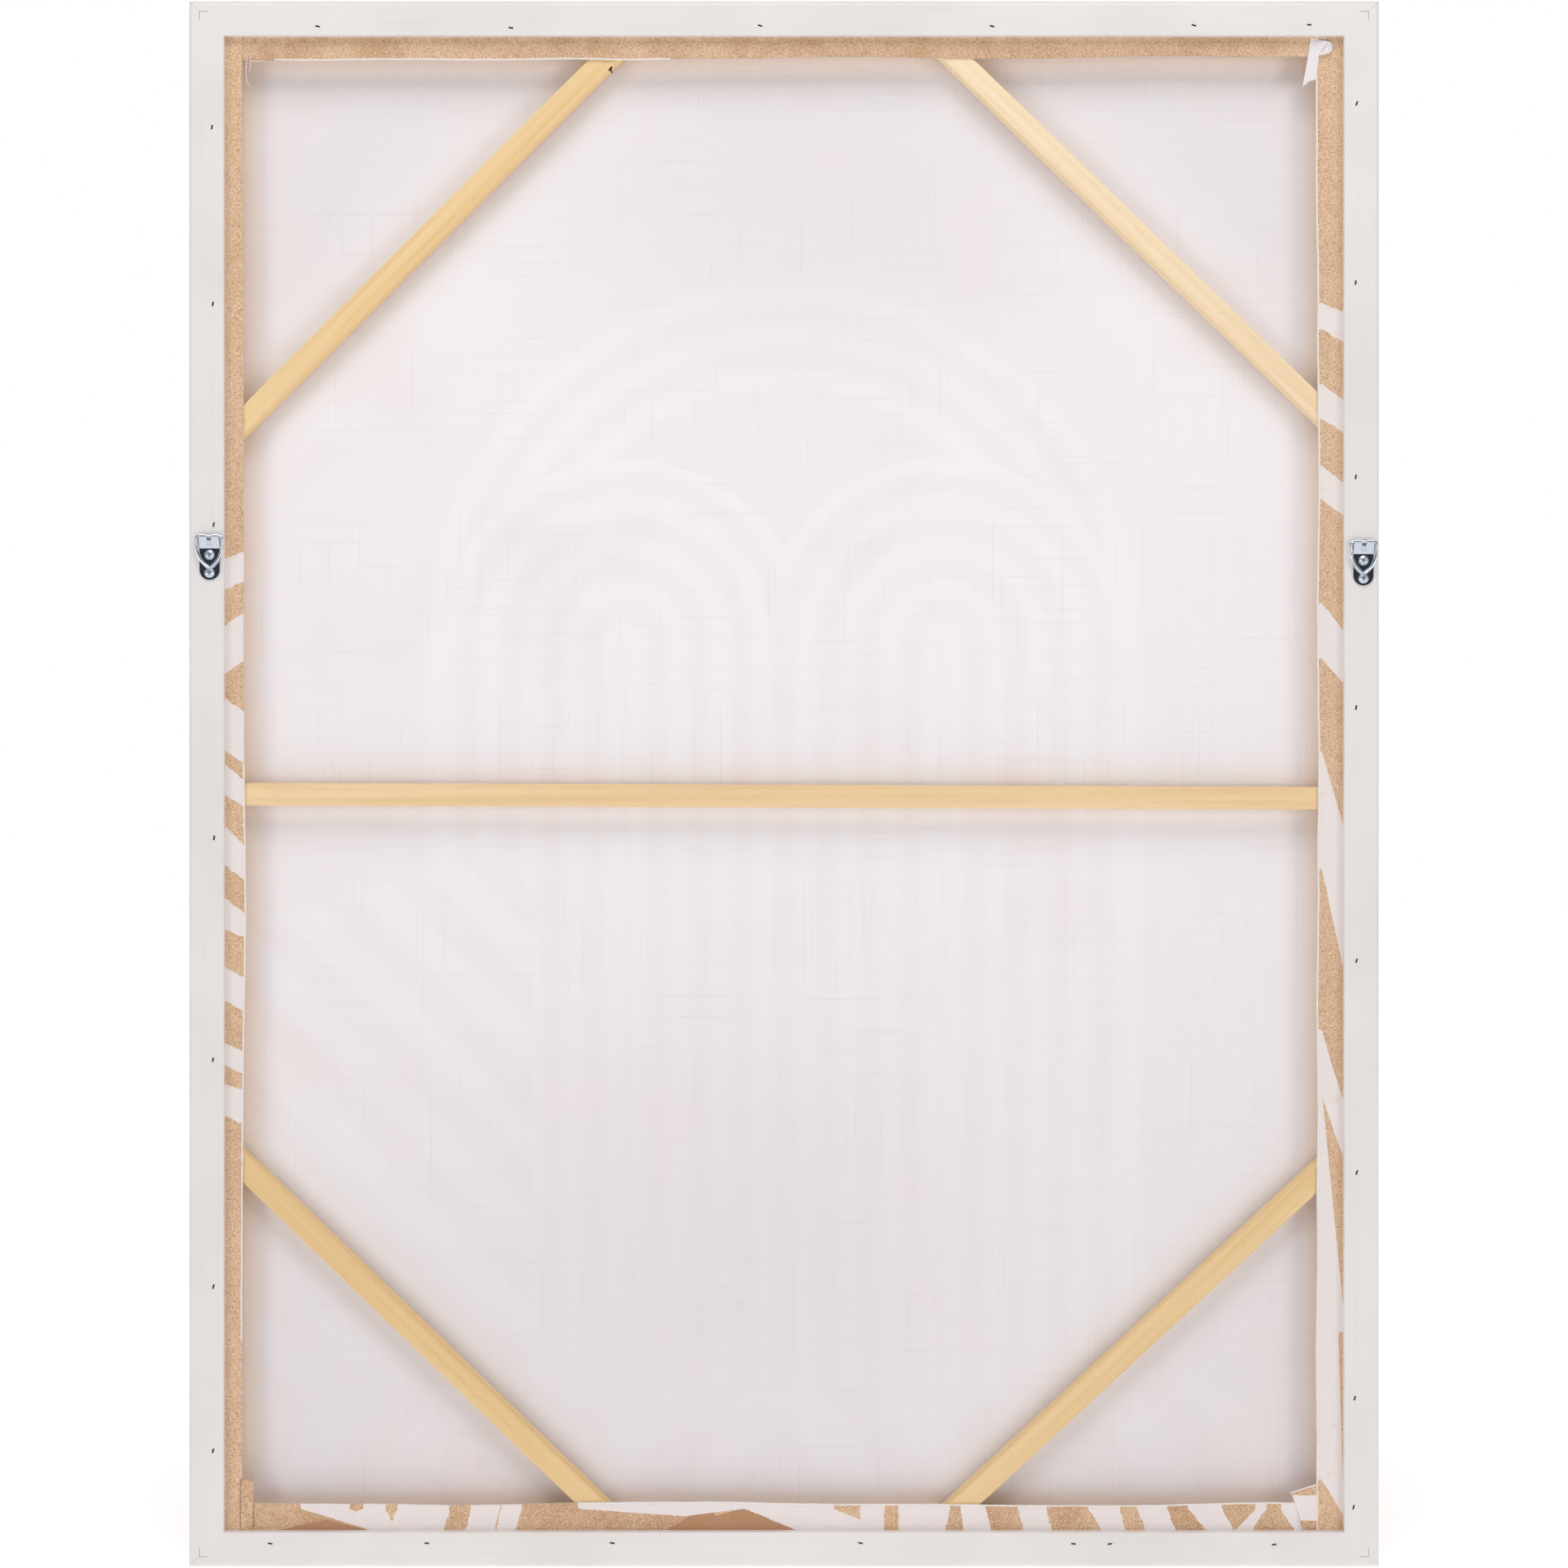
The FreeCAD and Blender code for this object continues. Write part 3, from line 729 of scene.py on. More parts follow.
def weave(s: Shader, threads: float) -> tuple[Value, Value]:
    """A plain weave on the face's plane.

    Args:
        s: The shader to add to.
        threads: Threads in a metre.

    Returns:
        The height from 0 to 1, and the slubs of the thicker threads.
    """
    at = s.place()
    drift = (s.noise(at, 14.0, 2.0) - 0.5) * 0.004
    x, _y, z = s.axes(at)
    turn = math.pi * threads
    warp = ((x + drift) * turn).sine()
    weft = ((z + drift) * turn).sine()
    height = (warp * warp) * 0.5 + (weft * weft) * 0.5
    thick_x = s.noise(s.scaled(at, (threads * 0.5, 1.0, 7.0)), 1.0, 1.0).step(0.60, 0.78)
    thick_z = s.noise(s.scaled(at, (7.0, 1.0, threads * 0.5)), 1.0, 1.0).step(0.60, 0.78)
    return height, thick_x.most(thick_z)


@dataclass(frozen=True)
class RawCloth:
    """The reverse: pale primed cloth that lets the picture show through faintly."""

    layout: Layout
    pale: Colour = linear(250, 245, 248)
    # painted_shade: the tone of the shade painted towards the bottom, at the top and bottom middle, and
    # towards the corners.
    painted_shade: Colour = linear(231, 225, 228)
    blush: Colour = linear(243, 231, 229)
    # edge: the warm tint of the painted shadow that the bars cast on the cloth.
    edge: Colour = linear(238, 221, 208)
    # slub_and_hollow_shade: the thicker threads' colour, and the painted shade in the weave's hollows.
    slub_and_hollow_shade: Colour = linear(216, 204, 202)
    ghost: Colour = linear(226, 214, 212)

    def material(self, name: str = "raw_cloth", shows: bool = True,
                 shade_and_seam_lines: Sequence[DarkLine] = ()) -> bpy.types.Material:
        """Make the cloth.

        Args:
            name: The material's name.
            shows: True if the picture shows through.
            shade_and_seam_lines: Lines of painted shade, each by its two ends, its half width and its
                strength, in metres.

        Returns:
            The material.
        """
        s = Shader(name)
        at = s.place()
        x, _y, z = s.axes(at)
        height, slubs = weave(s, 1500.0)
        cloud = s.noise(at, 7.0, 3.0)
        # Painted shade: darker towards the bottom, in two broad patches at the top and bottom middle, and
        # towards the corners.
        colour = s.mix(z.step(0.80, 0.15) * 0.45, self.pale, self.painted_shade)
        for spot_x, spot_z, size in ((-0.025, 1.15, 0.30), (0.064, 0.22, 0.30)):
            far = (((x - spot_x) * 0.8) * ((x - spot_x) * 0.8) + (z - spot_z) * (z - spot_z)) ** 0.5
            colour = s.mix(far.step(size, 0.02) * 0.65, colour, self.painted_shade)
        outward = abs(x) + abs(z - self.layout.middle.z)
        colour = s.mix(outward.step(0.70, 0.86) * 0.7, colour, self.painted_shade)
        colour = s.mix(cloud.step(0.5, 0.75) * 0.5, colour, self.blush)
        # Painted shade lines on a loose fold, where it has any.
        colour = paint_shade_and_seams(s, colour, x, z, shade_and_seam_lines)
        if shows:
            seen = Artwork(self.layout).picture(s, 0.006)
            colour = s.mix((1.0 - seen) * 0.11, colour, self.ghost)
            # Painted shadow: a warm band of shade on the cloth along the bars' inner edges.
            low, high = self.layout.open_low, self.layout.open_high
            inside = (x - low.x).least(high.x - x).least(z - low.z).least(high.z - z)
            ragged = (s.noise(at, 30.0, 3.0) - 0.5) * 0.008
            colour = s.mix((inside + ragged).step(0.022, 0.004) * 0.5, colour, self.edge)
        colour = s.mix(slubs * 0.22, colour, self.slub_and_hollow_shade)
        # Painted shade in the weave's hollows.
        colour = s.mix(height.step(0.5, 0.1) * 0.12, colour, self.slub_and_hollow_shade)
        relief = s.bump(height * 0.7 + slubs * 0.5, 0.5, 0.00025)
        return s.finish(colour, 0.88, relief)


@dataclass(frozen=True)
class CutEdge:
    """The white cut edge of the cloth, and its loose threads."""

    colour: Colour = linear(247, 243, 240)
    shade: Colour = linear(222, 212, 204)

    def material(self) -> bpy.types.Material:
        """Make the thread's finish."""
        s = Shader("cut_edge")
        at = s.place()
        fuzz = s.noise(at, 1500.0, 3.0, 0.7)
        colour = s.mix(fuzz.step(0.4, 0.7), self.colour, self.shade)
        return s.finish(colour, 0.9, s.bump(fuzz, 0.6, 0.0002))


def mesh_piece(name: str, points: Sequence[Vector], faces: Sequence[Sequence[int]],
               materials: Sequence[bpy.types.Material], smooth: bool = True) -> bpy.types.Object:
    """Make an object from points and faces.

    Args:
        name: The piece's name.
        points: Its vertices, in metres.
        faces: Its faces, as indices.
        materials: Its material slots.
        smooth: True for smooth shading.

    Returns:
        The linked object.
    """
    mesh = bpy.data.meshes.new(name)
    mesh.from_pydata([tuple(p) for p in points], [], [tuple(f) for f in faces])
    mesh.validate()
    for material in materials:
        mesh.materials.append(material)
    mesh.polygons.foreach_set("use_smooth", [smooth] * len(mesh.polygons))
    made = bpy.data.objects.new(name, mesh)
    bpy.context.scene.collection.objects.link(made)
    return made


@dataclass
class GridMesh:
    """Points and faces gathered from several grids."""

    points: list[Vector] = field(default_factory=list)
    faces: list[tuple[int, ...]] = field(default_factory=list)
    slots: list[int] = field(default_factory=list)

    def grid(self, columns: int, rows: int, at: Callable[[float, float], Vector], slot: int,
             flip: bool = False) -> None:
        """Add a grid of quads.

        Args:
            columns: Cells along the first share.
            rows: Cells along the second share.
            at: Gives the point for two shares from 0 to 1.
            slot: The faces' material slot.
            flip: True to turn the faces over.
        """
        base = len(self.points)
        for j in range(rows + 1):
            for i in range(columns + 1):
                self.points.append(at(i / columns, j / rows))
        wide = columns + 1
        for j in range(rows):
            for i in range(columns):
                a = base + j * wide + i
                quad = (a, a + 1, a + wide + 1, a + wide)
                self.faces.append(quad[::-1] if flip else quad)
                self.slots.append(slot)

    def build(self, name: str, materials: Sequence[bpy.types.Material], weld: float) -> bpy.types.Object:
        """Make the object, with points closer than weld joined."""
        made = mesh_piece(name, self.points, self.faces, materials)
        made.data.polygons.foreach_set("material_index", self.slots)
        bm = bmesh.new()
        bm.from_mesh(made.data)
        bmesh.ops.remove_doubles(bm, verts=bm.verts, dist=weld)
        bm.to_mesh(made.data)
        bm.free()
        return made


@dataclass
class StretchedCloth:
    """The cloth: one sheet over the face, round the sides and onto the back as tails."""

    layout: Layout
    round_r: float = 1.5 * MM
    cell: float = 8 * MM
    wave: float = 0.25 * MM
    lift: float = 0.7 * MM
    ragged: float = 1.4 * MM
    edge: float = 1.1 * MM
    tail_gap: float = 0.04 * MM
    rows: int = 13
    spare: dict[str, float] = field(default_factory=lambda: {
        "top": -0.7 * MM, "bottom": 1.5 * MM, "left": 0.0, "right": -1.0 * MM})
    trim: dict[str, tuple[tuple[float, float], ...]] = field(default_factory=lambda: {
        "top": ((-0.42, -0.8), (-0.32, -1.2), (-0.22, 0.5), (0.07, 0.0), (0.12, 2.2), (0.30, 1.8),
                (0.42, 1.6)),
        "bottom": ((-0.38, 3.4), (-0.28, 1.4), (-0.15, 2.6), (-0.05, 2.0), (0.05, 3.6), (0.18, 3.0),
                   (0.26, 1.4), (0.40, 2.8)),
        "left": ((0.10, 2.6), (0.30, 1.8), (0.35, 1.0), (0.45, 2.4), (0.54, 0.4), (0.70, 2.2), (0.85, 1.3),
                 (1.05, 1.8), (1.17, 2.8)),
        "right": ((0.10, -0.3), (0.20, -1.0), (0.40, 0.6), (0.53, 2.2), (0.65, 0.8), (1.00, 0.2),
                  (1.17, -0.4))})

    def tail_length(self, side: str, along: float) -> float:
        """How far a tail reaches in from the panel's edge.

        Args:
            side: The tail's side.
            along: The place along it, in metres.

        Returns:
            The reach in metres.
        """
        seed = SIDES.index(side) * 7.3
        slow = noise.noise(Vector((along * 9.0, seed, 0.0)))
        fast = noise.noise(Vector((along * 70.0, seed, 4.0)))
        points = self.trim[side]
        extra = points[0][1] if along <= points[0][0] else points[-1][1]
        for (start, first), (end, last) in zip(points, points[1:]):
            if start < along <= end:
                extra = first + (last - first) * (along - start) / (end - start)
        return self.layout.tail + self.spare[side] + extra * MM + self.ragged * (slow + fast * 0.2)

    def edge_shows(self, side: str, along: float) -> bool:
        """Whether the white cut edge has turned up.

        Args:
            side: The tail's side.
            along: The place along it, in metres.

        Returns:
            True where the cut edge shows.
        """
        if side == "left":
            return True
        low, high = {"top": (0.09, 0.405), "bottom": (-0.40, 0.16), "right": (0.18, 0.64)}[side]
        return low < along < high

    def face_point(self, u: float, v: float) -> Vector:
        """A point on the painted face.

        Args:
            u: Share across.
            v: Share up.

        Returns:
            The point.
        """
        low, high, r = self.layout.panel_low, self.layout.panel_high, self.round_r
        x = low.x + r + (high.x - low.x - 2 * r) * u
        z = low.z + r + (high.z - low.z - 2 * r) * v
        fade = math.sin(math.pi * u) ** 0.5 * math.sin(math.pi * v) ** 0.5
        dip = noise.noise(Vector((x * 5.0, 0.0, z * 5.0))) * self.wave * fade
        return Vector((x, low.y + dip, z))

    def side_point(self, side: str, along: float, share: float) -> Vector:
        """A point on the strip from the face's edge to the start of the tail.

        Args:
            side: The side's name.
            along: Share of the side's length.
            share: 0 at the face and 1 at the tail.

        Returns:
            The point.
        """
        r = self.round_r
        front, back = self.layout.panel_low.y, self.layout.tail_y
        quarter = math.pi / 2
        if share < 0.25:
            angle = share / 0.25 * quarter
            out, y = -r + r * math.sin(angle), front + r - r * math.cos(angle)
        elif share < 0.75:
            out, y = 0.0, front + r + (back - front - 2 * r) * (share - 0.25) / 0.5
        else:
            angle = (share - 0.75) / 0.25 * quarter
            out, y = -r + r * math.cos(angle), back - r + r * math.sin(angle)
        return self.on_side(side, along, out, y)

    def on_side(self, side: str, along: float, out: float, y: float) -> Vector:
        """A point beside one edge of the panel.

        Args:
            side: The side's name.
            along: Share of the side's length.
            out: Metres out from the edge.
            y: The depth.

        Returns:
            The point.
        """
        low, high, r = self.layout.panel_low, self.layout.panel_high, self.round_r
        x = low.x + r + (high.x - low.x - 2 * r) * along
        z = low.z + r + (high.z - low.z - 2 * r) * along
        if side == "top":
            return Vector((x, y, high.z + out))
        if side == "bottom":
            return Vector((x, y, low.z - out))
        if side == "left":
            return Vector((low.x - out, y, z))
        return Vector((high.x + out, y, z))

    def tail_point(self, side: str, along: float, share: float) -> Vector:
        """A point on a tail, which starts a hair behind the side, so that the two never share an edge.

        Args:
            side: The tail's side.
            along: Share of its length.
            share: 0 at its fold and 1 at its cut edge.

        Returns:
            The point.
        """
        low, high, r = self.layout.panel_low, self.layout.panel_high, self.round_r
        if side in ("top", "bottom"):
            seam = (self.layout.tail - r - 3.0 * MM) / (high.x - low.x - 2 * r)
            along = seam + (1 - 2 * seam) * along
        point = self.on_side(side, along, 0.0, 0.0)
        place = point.x if side in ("top", "bottom") else point.z
        reach = self.tail_length(side, place)
        last = share * self.rows - (self.rows - 1)
        inward = r + (reach - self.edge - r) * min(1.0, share * self.rows / (self.rows - 1))
        inward += self.edge * max(0.0, last)
        hidden = self.layout.flange - low.z
        free = max(0.0, (inward - hidden) / (reach - hidden))
        seed = SIDES.index(side) * 3.7
        ripple = noise.noise(Vector((place * 22.0, seed, share * 2.0))) * 0.5 + 0.5
        over = 0.2 * MM if side in ("left", "right") else 0.0
        curl = 0.5 * self.edge * max(0.0, last) if self.edge_shows(side, place) else 0.0
        y = (self.layout.tail_y + self.tail_gap + over * min(1.0, share * 6)
             + self.lift * ripple * free * free + curl)
        return self.on_side(side, along, -inward, y)

    def turn_edge(self, mesh: GridMesh, side: str, columns: int, slot: int) -> None:
        """Show the white cut edge on the last row of the tail that was added last.

        Args:
            mesh: What the tail was added to.
            side: The tail's side.
            columns: The faces in a row.
            slot: The material slot of the cut edge.
        """
        for index in range(len(mesh.faces) - columns, len(mesh.faces)):
            point = mesh.points[mesh.faces[index][0]]
            place = point.x if side in ("top", "bottom") else point.z
            if self.edge_shows(side, place):
                mesh.slots[index] = slot

    def corner(self, mesh: GridMesh, sx: int, sz: int) -> None:
        """Close one rounded corner between two sides.

        Args:
            mesh: What to add to.
            sx: Sign of the corner's x.
            sz: Sign of the corner's z.
        """
        low, high, r = self.layout.panel_low, self.layout.panel_high, self.round_r
        axis_x = (high.x - r) if sx > 0 else (low.x + r)
        axis_z = (high.z - r) if sz > 0 else (low.z + r)

        def at(u: float, v: float) -> Vector:
            """A point round the corner (u) and back along it (v)."""
            edge = self.side_point("top", 0.0, v)
            out = edge.z - high.z + r
            angle = u * math.pi / 2
            return Vector((axis_x + sx * out * math.sin(angle), edge.y, axis_z + sz * out * math.cos(angle)))

        mesh.grid(6, 16, at, 1 if sz > 0 else 2, flip=sx * sz < 0)

    def build(self) -> bpy.types.Object:
        """Make the cloth as one piece on the frame's body, hide the CAD cloth it stands for, and log its
        points.
        """
        lay = self.layout
        mesh = GridMesh()
        across = int((lay.panel_high.x - lay.panel_low.x) / self.cell)
        up = int((lay.panel_high.z - lay.panel_low.z) / self.cell)
        mesh.grid(across, up, self.face_point, 0)
        for index, side in enumerate(SIDES):
            count = across if side in ("top", "bottom") else up
            turned = side in ("bottom", "right")
            slot = index + 1
            mesh.grid(count, 16, lambda u, v, s=side: self.side_point(s, u, v), slot, flip=turned)
            mesh.grid(count * 3, self.rows, lambda u, v, s=side: self.tail_point(s, u, v), slot,
                      flip=turned)
            self.turn_edge(mesh, side, count * 3, 2 * len(SIDES) + 2)
        for sx in (-1, 1):
            for sz in (-1, 1):
                self.corner(mesh, sx, sz)
        paint = PaintedCloth(lay)
        painted = [paint.material("face")] + [paint.material(side) for side in SIDES]
        reverse = RawCloth(lay).material()
        made = mesh.build("canvas_sheet", painted + [reverse] * len(painted) + [CutEdge().material()],
                          0.02 * MM)
        solid = made.modifiers.new("thickness", "SOLIDIFY")
        solid.thickness = lay.cloth
        solid.offset = -1.0
        solid.material_offset = len(painted)
        solid.material_offset_rim = 2 * len(painted)
        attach(made, "frame")
        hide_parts("canvas_face", *(f"canvas_wrap_{side}" for side in SIDES))
        LOG.info("canvas_sheet: %d points", len(made.data.vertices))
        return made

    def flat_size(self) -> tuple[float, float]:
        """The cut's width and length: face, both sides and both tails."""
        lay = self.layout
        extra = 2 * ((lay.tail_y - lay.panel_low.y) + lay.tail)
        size = lay.panel_high - lay.panel_low
        return size.x + extra, size.z + extra


def tube(name: str, runs: Sequence[Sequence[Vector]], radius: float,
         material: bpy.types.Material) -> bpy.types.Object:
    """Fine round strands, each a smooth line through its own points.

    Args:
        name: The piece's name.
        runs: The control points of each strand.
        radius: The strands' radius.
        material: Their finish.

    Returns:
        The linked curve.
    """
    data = bpy.data.curves.new(name, "CURVE")
    data.dimensions = "3D"
    data.bevel_depth = radius
    data.bevel_resolution = 2
    data.use_fill_caps = True
    for run in runs:
        line = data.splines.new("NURBS")
        line.points.add(len(run) - 1)
        for point, place in zip(line.points, run):
            point.co = (*place, 1.0)
        line.order_u = 3
        line.use_endpoint_u = True
    data.materials.append(material)
    made = bpy.data.objects.new(name, data)
    bpy.context.scene.collection.objects.link(made)
    return made


@dataclass
class CornerFolds:
    """Loose ends of the cloth at three corners, its turned-up lips and its stray threads."""

    layout: Layout
    cloth: StretchedCloth
    thick: float = 0.45 * MM
    lift: float = 0.8 * MM
    made: list[bpy.types.Object] = field(default_factory=list)

    def clear(self, x: float, z: float) -> float:
        """How far a point lies inside the frame's flange."""
        low, high, flange = self.layout.low, self.layout.high, self.layout.flange
        return min(x - low.x, high.x - x, z - low.z, high.z - z) - flange

    def height(self, x: float, z: float, extra: float = 0.0) -> float:
        """How far back a fold's outer surface lies, tucked under the flange at its foot.

        Args:
            x: Metres across.
            z: Metres up.
            extra: More height, in metres.

        Returns:
            The depth of the surface.
        """
        free = min(1.0, max(0.0, self.clear(x, z) / (4 * MM)))
        free = free * free * (3 - 2 * free)
        ripple = noise.noise(Vector((x * 160.0, 0.0, z * 160.0))) * 0.3 * MM
        return self.layout.tail_y - 0.05 * MM + (self.lift + extra + ripple) * free

    def keep(self, piece: bpy.types.Object) -> None:
        """Let a piece ride with the frame, and add it to the pieces made."""
        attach(piece, "frame")
        self.made.append(piece)

    def fold(self, name: str, outline: Sequence[tuple[float, float]],
             materials: Sequence[bpy.types.Material], rise: Callable[[float, float], float]) -> None:
        """Make one loose end.

        Args:
            name: The piece's name.
            outline: Its corners, in millimetres across and up.
            materials: The side that shows, the other side and the cut edge.
            rise: More height at a point in metres.
        """
        bm = bmesh.new()
        corners_made = [bm.verts.new((x * MM, 0.0, z * MM)) for x, z in outline]
        whole = bm.faces.new(corners_made)
        whole.normal_update()
        if whole.normal.y < 0:
            whole.normal_flip()
        bmesh.ops.triangulate(bm, faces=[whole], ngon_method="EAR_CLIP")
        for _pass in range(4):
            bmesh.ops.subdivide_edges(bm, edges=bm.edges, cuts=1, use_grid_fill=True)
        for vert in bm.verts:
            vert.co.y = self.height(vert.co.x, vert.co.z, rise(vert.co.x, vert.co.z))
        mesh = bpy.data.meshes.new(name)
        bm.to_mesh(mesh)
        bm.free()
        for material in materials:
            mesh.materials.append(material)
        mesh.polygons.foreach_set("use_smooth", [True] * len(mesh.polygons))
        piece = bpy.data.objects.new(name, mesh)
        bpy.context.scene.collection.objects.link(piece)
        solid = piece.modifiers.new("thickness", "SOLIDIFY")
        solid.thickness = self.thick
        solid.offset = -1.0
        solid.material_offset = 1
        solid.material_offset_rim = 2
        self.keep(piece)

    def lips(self, edge: bpy.types.Material) -> None:
        """The bright turned-up lips along the folds' cut edges."""
        routes = {
            "lip_top_left": (0.55, ((-428.4, 1208.0), (-433.5, 1208.5), (-436.8, 1210.2), (-438.2, 1213.6),
                                    (-437.4, 1217.6), (-434.0, 1219.4))),
            "lip_bottom_left": (0.5, ((-404.9, 57.9), (-415.3, 61.4), (-425.9, 64.6))),
            "lip_bottom_left_low": (0.4, ((-410.9, 37.2), (-412.6, 32.0), (-414.4, 27.9))),
        }
        for name, (radius, route) in routes.items():
            run = [Vector((x * MM, self.height(x * MM, z * MM, 0.3 * MM + radius * MM), z * MM))
                   for x, z in route]
            self.keep(tube(name, [run], radius * MM, edge))

    def threads(self, edge: bpy.types.Material) -> None:
        """A few long threads at one corner and short ones along every cut edge."""
        rough = random.Random(11)
        long_ones = (((428.7, 1209.6), (429.4, 1204.0), (430.6, 1197.0), (429.8, 1190.0), (430.2, 1186.0),
                      (427.5, 1183.2)),
                     ((427.6, 1209.0), (427.1, 1204.0), (426.8, 1199.0), (427.6, 1194.5)),
                     ((426.5, 1203.2), (420.5, 1202.2), (415.0, 1203.0)))
        runs = [[Vector((x * MM, self.height(x * MM, z * MM, 0.3 * MM), z * MM)) for x, z in line]
                for line in long_ones]
        low, high = self.layout.panel_low, self.layout.panel_high
        for side in SIDES:
            level = side in ("top", "bottom")
            span = (low.x + 0.06, high.x - 0.06) if level else (low.z + 0.06, high.z - 0.06)
            for _thread in range(34):
                along = rough.uniform(*span)
                reach = self.cloth.tail_length(side, along)
                share = ((along - (low.x if level else low.z))
                         / ((high.x - low.x) if level else (high.z - low.z)))
                end, lean = rough.uniform(1.2, 4.5) * MM, rough.uniform(-1.0, 1.0) * 2.5 * MM
                root = self.cloth.on_side(side, share, -reach + 0.6 * MM, self.layout.tail_y)
                tip = self.cloth.on_side(side, share, -reach - end * 0.7,
                                         self.layout.tail_y + rough.uniform(-1.0, 0.6) * MM)
                slide = Vector((lean, 0.0, 0.0)) if level else Vector((0.0, 0.0, lean))
                runs.append([root, root.lerp(tip, 0.5) + slide * 0.2, tip + slide])
        self.keep(tube("loose_threads", runs[len(long_ones):], 0.10 * MM, edge))
        self.keep(tube("corner_threads", runs[:len(long_ones)], 0.22 * MM, edge))

    def build(self) -> list[bpy.types.Object]:
        """Make every fold, lip and thread."""
        paint, edge = PaintedCloth(self.layout), CutEdge().material()
        plain = paint.material("fold")
        # A dark seam line along the strip's outer edge, and a painted shadow along its inner edge.
        seam_and_shadow = (((0.4347, 0.0257), (0.4347, 0.0686), 0.0008, 0.7),
                 ((0.4249, 0.0257), (0.4249, 0.0480), 0.0012, 0.4))
        strip = paint.material("fold", None, seam_and_shadow)
        # Painted shade: a dark line along the fold's slanted edge.
        edge_shade = (((-0.4090, 0.0350), (-0.4062, 0.0555), 0.0006, 0.3),)
        banded = paint.material("fold", (35.6 * MM, 55.8 * MM), edge_shade)
        # Painted shade on the curled corner: its darker hollow and crease, and painted shadow along its
        # edges.
        wear_and_shade = (((-0.4302, 1.2108), (-0.4338, 1.2160), 0.0018, 0.28),
                ((-0.4270, 1.2212), (-0.4358, 1.2188), 0.0010, 0.9),
                ((-0.4207, 1.2215), (-0.4190, 1.2090), 0.0007, 0.8),
                ((-0.4283, 1.2080), (-0.4262, 1.1900), 0.0008, 0.35))
        bare = RawCloth(self.layout).material("raw_cloth_fold", False, wear_and_shade)
        outer = ((-421.2, 1226.9), (-419.4, 1207.4), (-414.6, 1182.0), (-420.3, 1186.7), (-426.2, 1188.5),
                 (-428.3, 1208.1), (-433.5, 1208.6), (-436.8, 1210.2), (-438.0, 1213.6), (-437.4, 1217.6),
                 (-434.0, 1220.0), (-431.0, 1226.9))
        self.fold("corner_fold_top_left", outer, (bare, plain, edge),
                  lambda x, z: math.sin(math.pi * max(0.0, min(1.0, (-x - 0.428) / 0.010))) * 2.2 * MM)
        self.fold("corner_fold_bottom_right", ((435.1, 68.6), (424.4, 68.6), (424.4, 25.7), (435.1, 25.7)),
                  (strip, bare, strip), lambda x, z: 0.2 * MM)
        self.fold("corner_fold_bottom_left",
                  ((-404.9, 57.7), (-425.7, 64.4), (-427.7, 25.7), (-416.0, 25.7), (-406.4, 56.2)),
                  (banded, bare, edge), lambda x, z: 0.1 * MM)
        self.lips(edge)
        self.threads(edge)
        LOG.info("corner folds: %d pieces", len(self.made))
        return self.made


@dataclass
class FloaterFrame:
    """The four rails with their brads and V-nails."""

    layout: Layout

    def dress(self) -> None:
        """Give the rails their paint and the nails their metal."""
        paint = FramePaint(self.layout)
        level, upright = paint.material(False), paint.material(True)
        for side in SIDES:
            put(f"frame_rail_{side}", level if side in ("top", "bottom") else upright)
        brad = Plate(Metal.BRAD).material()
        for side in SIDES:
            put(f"frame_brads_{side}", brad)
            put(f"canvas_staples_{side}", brad)
        nail = Plate(Metal.NAIL).material()
        put("frame_corner_v_nails", nail)
        put("stretcher_corner_v_nails", brad)
        put("brace_staples", brad)
        put("brace_brad", brad)
        LOG.info("frame: %d rails dressed", len(SIDES))


def put(node: str, material: bpy.types.Material) -> None:
    """Give one CAD node its finish."""
    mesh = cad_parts[node].data
    mesh.materials.clear()
    mesh.materials.append(material)


def smooth(node: str, angle: float = 40.0) -> None:
    """Shade a CAD node smooth, except where faces meet sharply."""
    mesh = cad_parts[node].data
    mesh.polygons.foreach_set("use_smooth", [True] * len(mesh.polygons))
    mesh.set_sharp_from_angle(angle=math.radians(angle))


@dataclass
class Stretcher:
    """The bars, corner braces and crossbar."""

    layout: Layout

    def lie(self, node: str) -> float:
        """The angle of a brace from the row's X, from its box."""
        low, high = corners(node)
        size = high - low
        if node == "crossbar":
            return 0.0
        slope = math.atan2(size.z, size.x)
        falls = node in ("brace_top_right", "brace_bottom_left")
        return -slope if falls else slope

    def dress(self) -> None:
        """Give each piece its own cut of pine."""
        tones = (PineTone.CREAM, PineTone.HONEY, PineTone.AMBER, PineTone.STRAW, PineTone.SAND)
        for index, (node, tone) in enumerate(zip(BRACES, tones)):
            put(node, Pine(f"pine_{node}", self.lie(node), index + 1.0, tone, 0.3).material())
        level = Pine("pine_level", 0.0, 8.0).material()
        upright = Pine("pine_upright", math.pi / 2, 9.0).material()
        for side in SIDES:
            put(f"stretcher_bar_{side}", level if side in ("top", "bottom") else upright)
        LOG.info("stretcher: %d braces dressed", len(BRACES))


@dataclass
class Hangers:
    """The two strap hangers with their rings and screws."""

    def dress(self) -> None:
        """Give each fitting its plating."""
        strap, ring, screw = (Plate(m).material() for m in (Metal.ZINC, Metal.RING, Metal.SCREW))
        for side in ("left", "right"):
            put(f"{side}_hanger_strap", strap)
            put(f"{side}_hanger_ring", ring)
            put(f"{side}_hanger_screw_upper", screw)
            put(f"{side}_hanger_screw_lower", screw)
            for part in ("strap", "ring", "screw_upper", "screw_lower"):
                smooth(f"{side}_hanger_{part}")
        LOG.info("hangers: dressed")


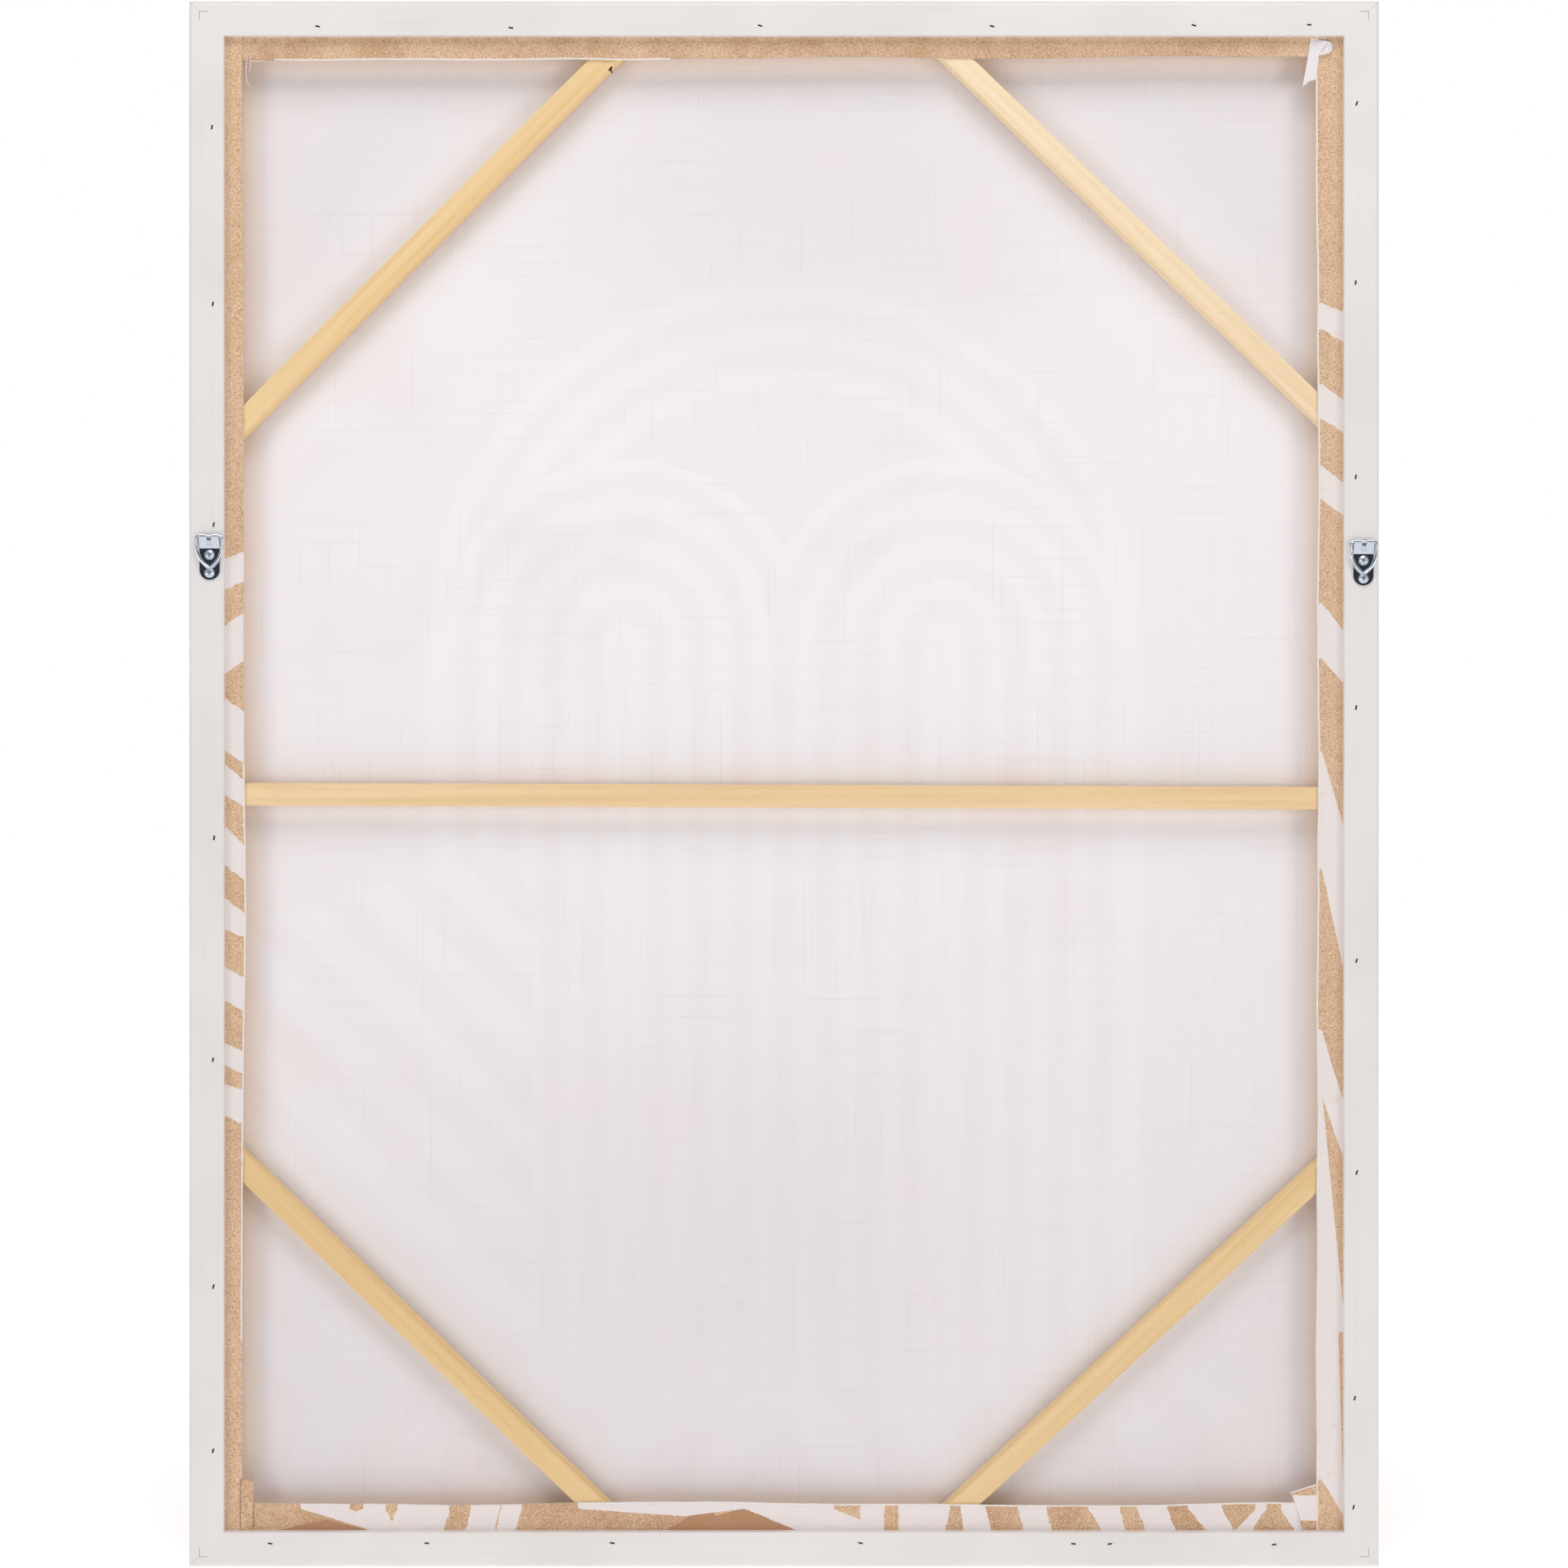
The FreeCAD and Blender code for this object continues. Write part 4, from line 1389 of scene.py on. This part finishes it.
@dataclass
class Studio:
    """Pale floor, soft lights and the camera."""

    layout: Layout
    lens: float = 60.0
    view: float = 1.2508
    rise: float = 0.080
    floor_half: float = 6.0
    floor_near: float = 0.45
    floor_far: float = 0.8

    def floor(self) -> None:
        """A plain pale floor just under the frame."""
        s = Shader("floor")
        x, y, _z = s.axes(s.place())
        far = ((x * x + y * y) ** 0.5).step(self.floor_near, self.floor_far)
        cloud = s.noise(s.place(), 0.8, 2.0)
        near = s.mix(cloud, (0.93, 0.93, 0.93), (0.90, 0.90, 0.90))
        material = s.finish(s.mix(far, near, (0.0, 0.0, 0.0)), 0.7,
                            Emission_Color=s.mix(far, (0.38, 0.38, 0.38), (1.0, 1.0, 1.0)),
                            Emission_Strength=1.0)
        half = self.floor_half
        points = [Vector((x, y, -0.2 * MM))
                  for x, y in ((-half, -half), (half, -half), (half, half), (-half, half))]
        mesh_piece("floor", points, [(0, 1, 2, 3)], [material], smooth=False)

    def lamp(self, name: str, place: Sequence[float], size: tuple[float, float], power: float) -> None:
        """A soft box aimed at the middle of the frame.

        Args:
            name: The lamp's name.
            place: Where it stands.
            size: Its width and height.
            power: In watts.
        """
        light = bpy.data.lights.new(name, "AREA")
        light.shape = "RECTANGLE"
        light.size, light.size_y = size
        light.energy = power
        made = bpy.data.objects.new(name, light)
        made.location = place
        aim = self.layout.middle - Vector(place)
        made.rotation_euler = aim.to_track_quat("-Z", "Y").to_euler()
        bpy.context.scene.collection.objects.link(made)

    def world(self) -> None:
        """White all round for the camera, and darker behind it for what shines."""
        world = bpy.data.worlds.new("studio")
        world.use_nodes = True
        bpy.context.scene.world = world
        tree = world.node_tree
        sky = tree.nodes["Background"]
        split = tree.nodes.new("ShaderNodeSeparateXYZ")
        place = tree.nodes.new("ShaderNodeTexCoord")
        ramp = tree.nodes.new("ShaderNodeValToRGB")
        path = tree.nodes.new("ShaderNodeLightPath")
        mix = tree.nodes.new("ShaderNodeMix")
        mix.data_type = "RGBA"
        ramp.color_ramp.elements[0].position = 0.35
        ramp.color_ramp.elements[0].color = (0.34, 0.34, 0.34, 1.0)
        ramp.color_ramp.elements[1].position = 0.9
        ramp.color_ramp.elements[1].color = (0.03, 0.035, 0.045, 1.0)
        links = tree.links
        links.new(place.outputs["Generated"], split.inputs[0])
        links.new(split.outputs[1], ramp.inputs[0])
        links.new(path.outputs["Is Camera Ray"], mix.inputs[0])
        links.new(ramp.outputs[0], mix.inputs[6])
        mix.inputs[7].default_value = (1.0, 1.0, 1.0, 1.0)
        links.new(mix.outputs[2], sky.inputs["Color"])
        sky.inputs["Strength"].default_value = 1.0

    def camera(self) -> None:
        """A level camera square to the back."""
        data = bpy.data.cameras.new("camera")
        data.lens = self.lens
        data.sensor_width = 36.0
        made = bpy.data.objects.new("camera", data)
        middle = self.layout.middle
        distance = self.view * data.lens / data.sensor_width
        made.location = (middle.x, self.layout.high.y + distance, middle.z + self.rise)
        data.shift_y = -self.rise / self.view
        made.rotation_euler = (math.pi / 2, 0.0, math.pi)
        bpy.context.scene.collection.objects.link(made)
        bpy.context.scene.camera = made

    def build(self) -> None:
        """Set the stage."""
        self.floor()
        self.world()
        self.lamp("top_box", (0.0, 1.5, 3.2), (2.4, 1.4), 42.0)
        self.lamp("left_box", (-2.5, 2.3, 0.8), (1.0, 1.6), 17.6)
        self.lamp("right_box", (2.5, 2.3, 0.8), (1.0, 1.6), 17.6)
        self.lamp("front_box", (0.0, -3.2, 2.2), (3.0, 2.0), 34.0)
        self.camera()
        bpy.context.scene.view_settings.view_transform = "Standard"


def main() -> None:
    """Build every piece in order."""
    logging.basicConfig(level=logging.INFO, format="%(name)s: %(message)s")
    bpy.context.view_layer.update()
    layout = Layout.read()
    FloaterFrame(layout).dress()
    Stretcher(layout).dress()
    Hangers().dress()
    cloth = StretchedCloth(layout)
    sheet = cloth.build()
    loose = CornerFolds(layout, cloth).build()
    cloth.flat_size()
    Studio(layout).build()


if __name__ == "__main__":
    main()
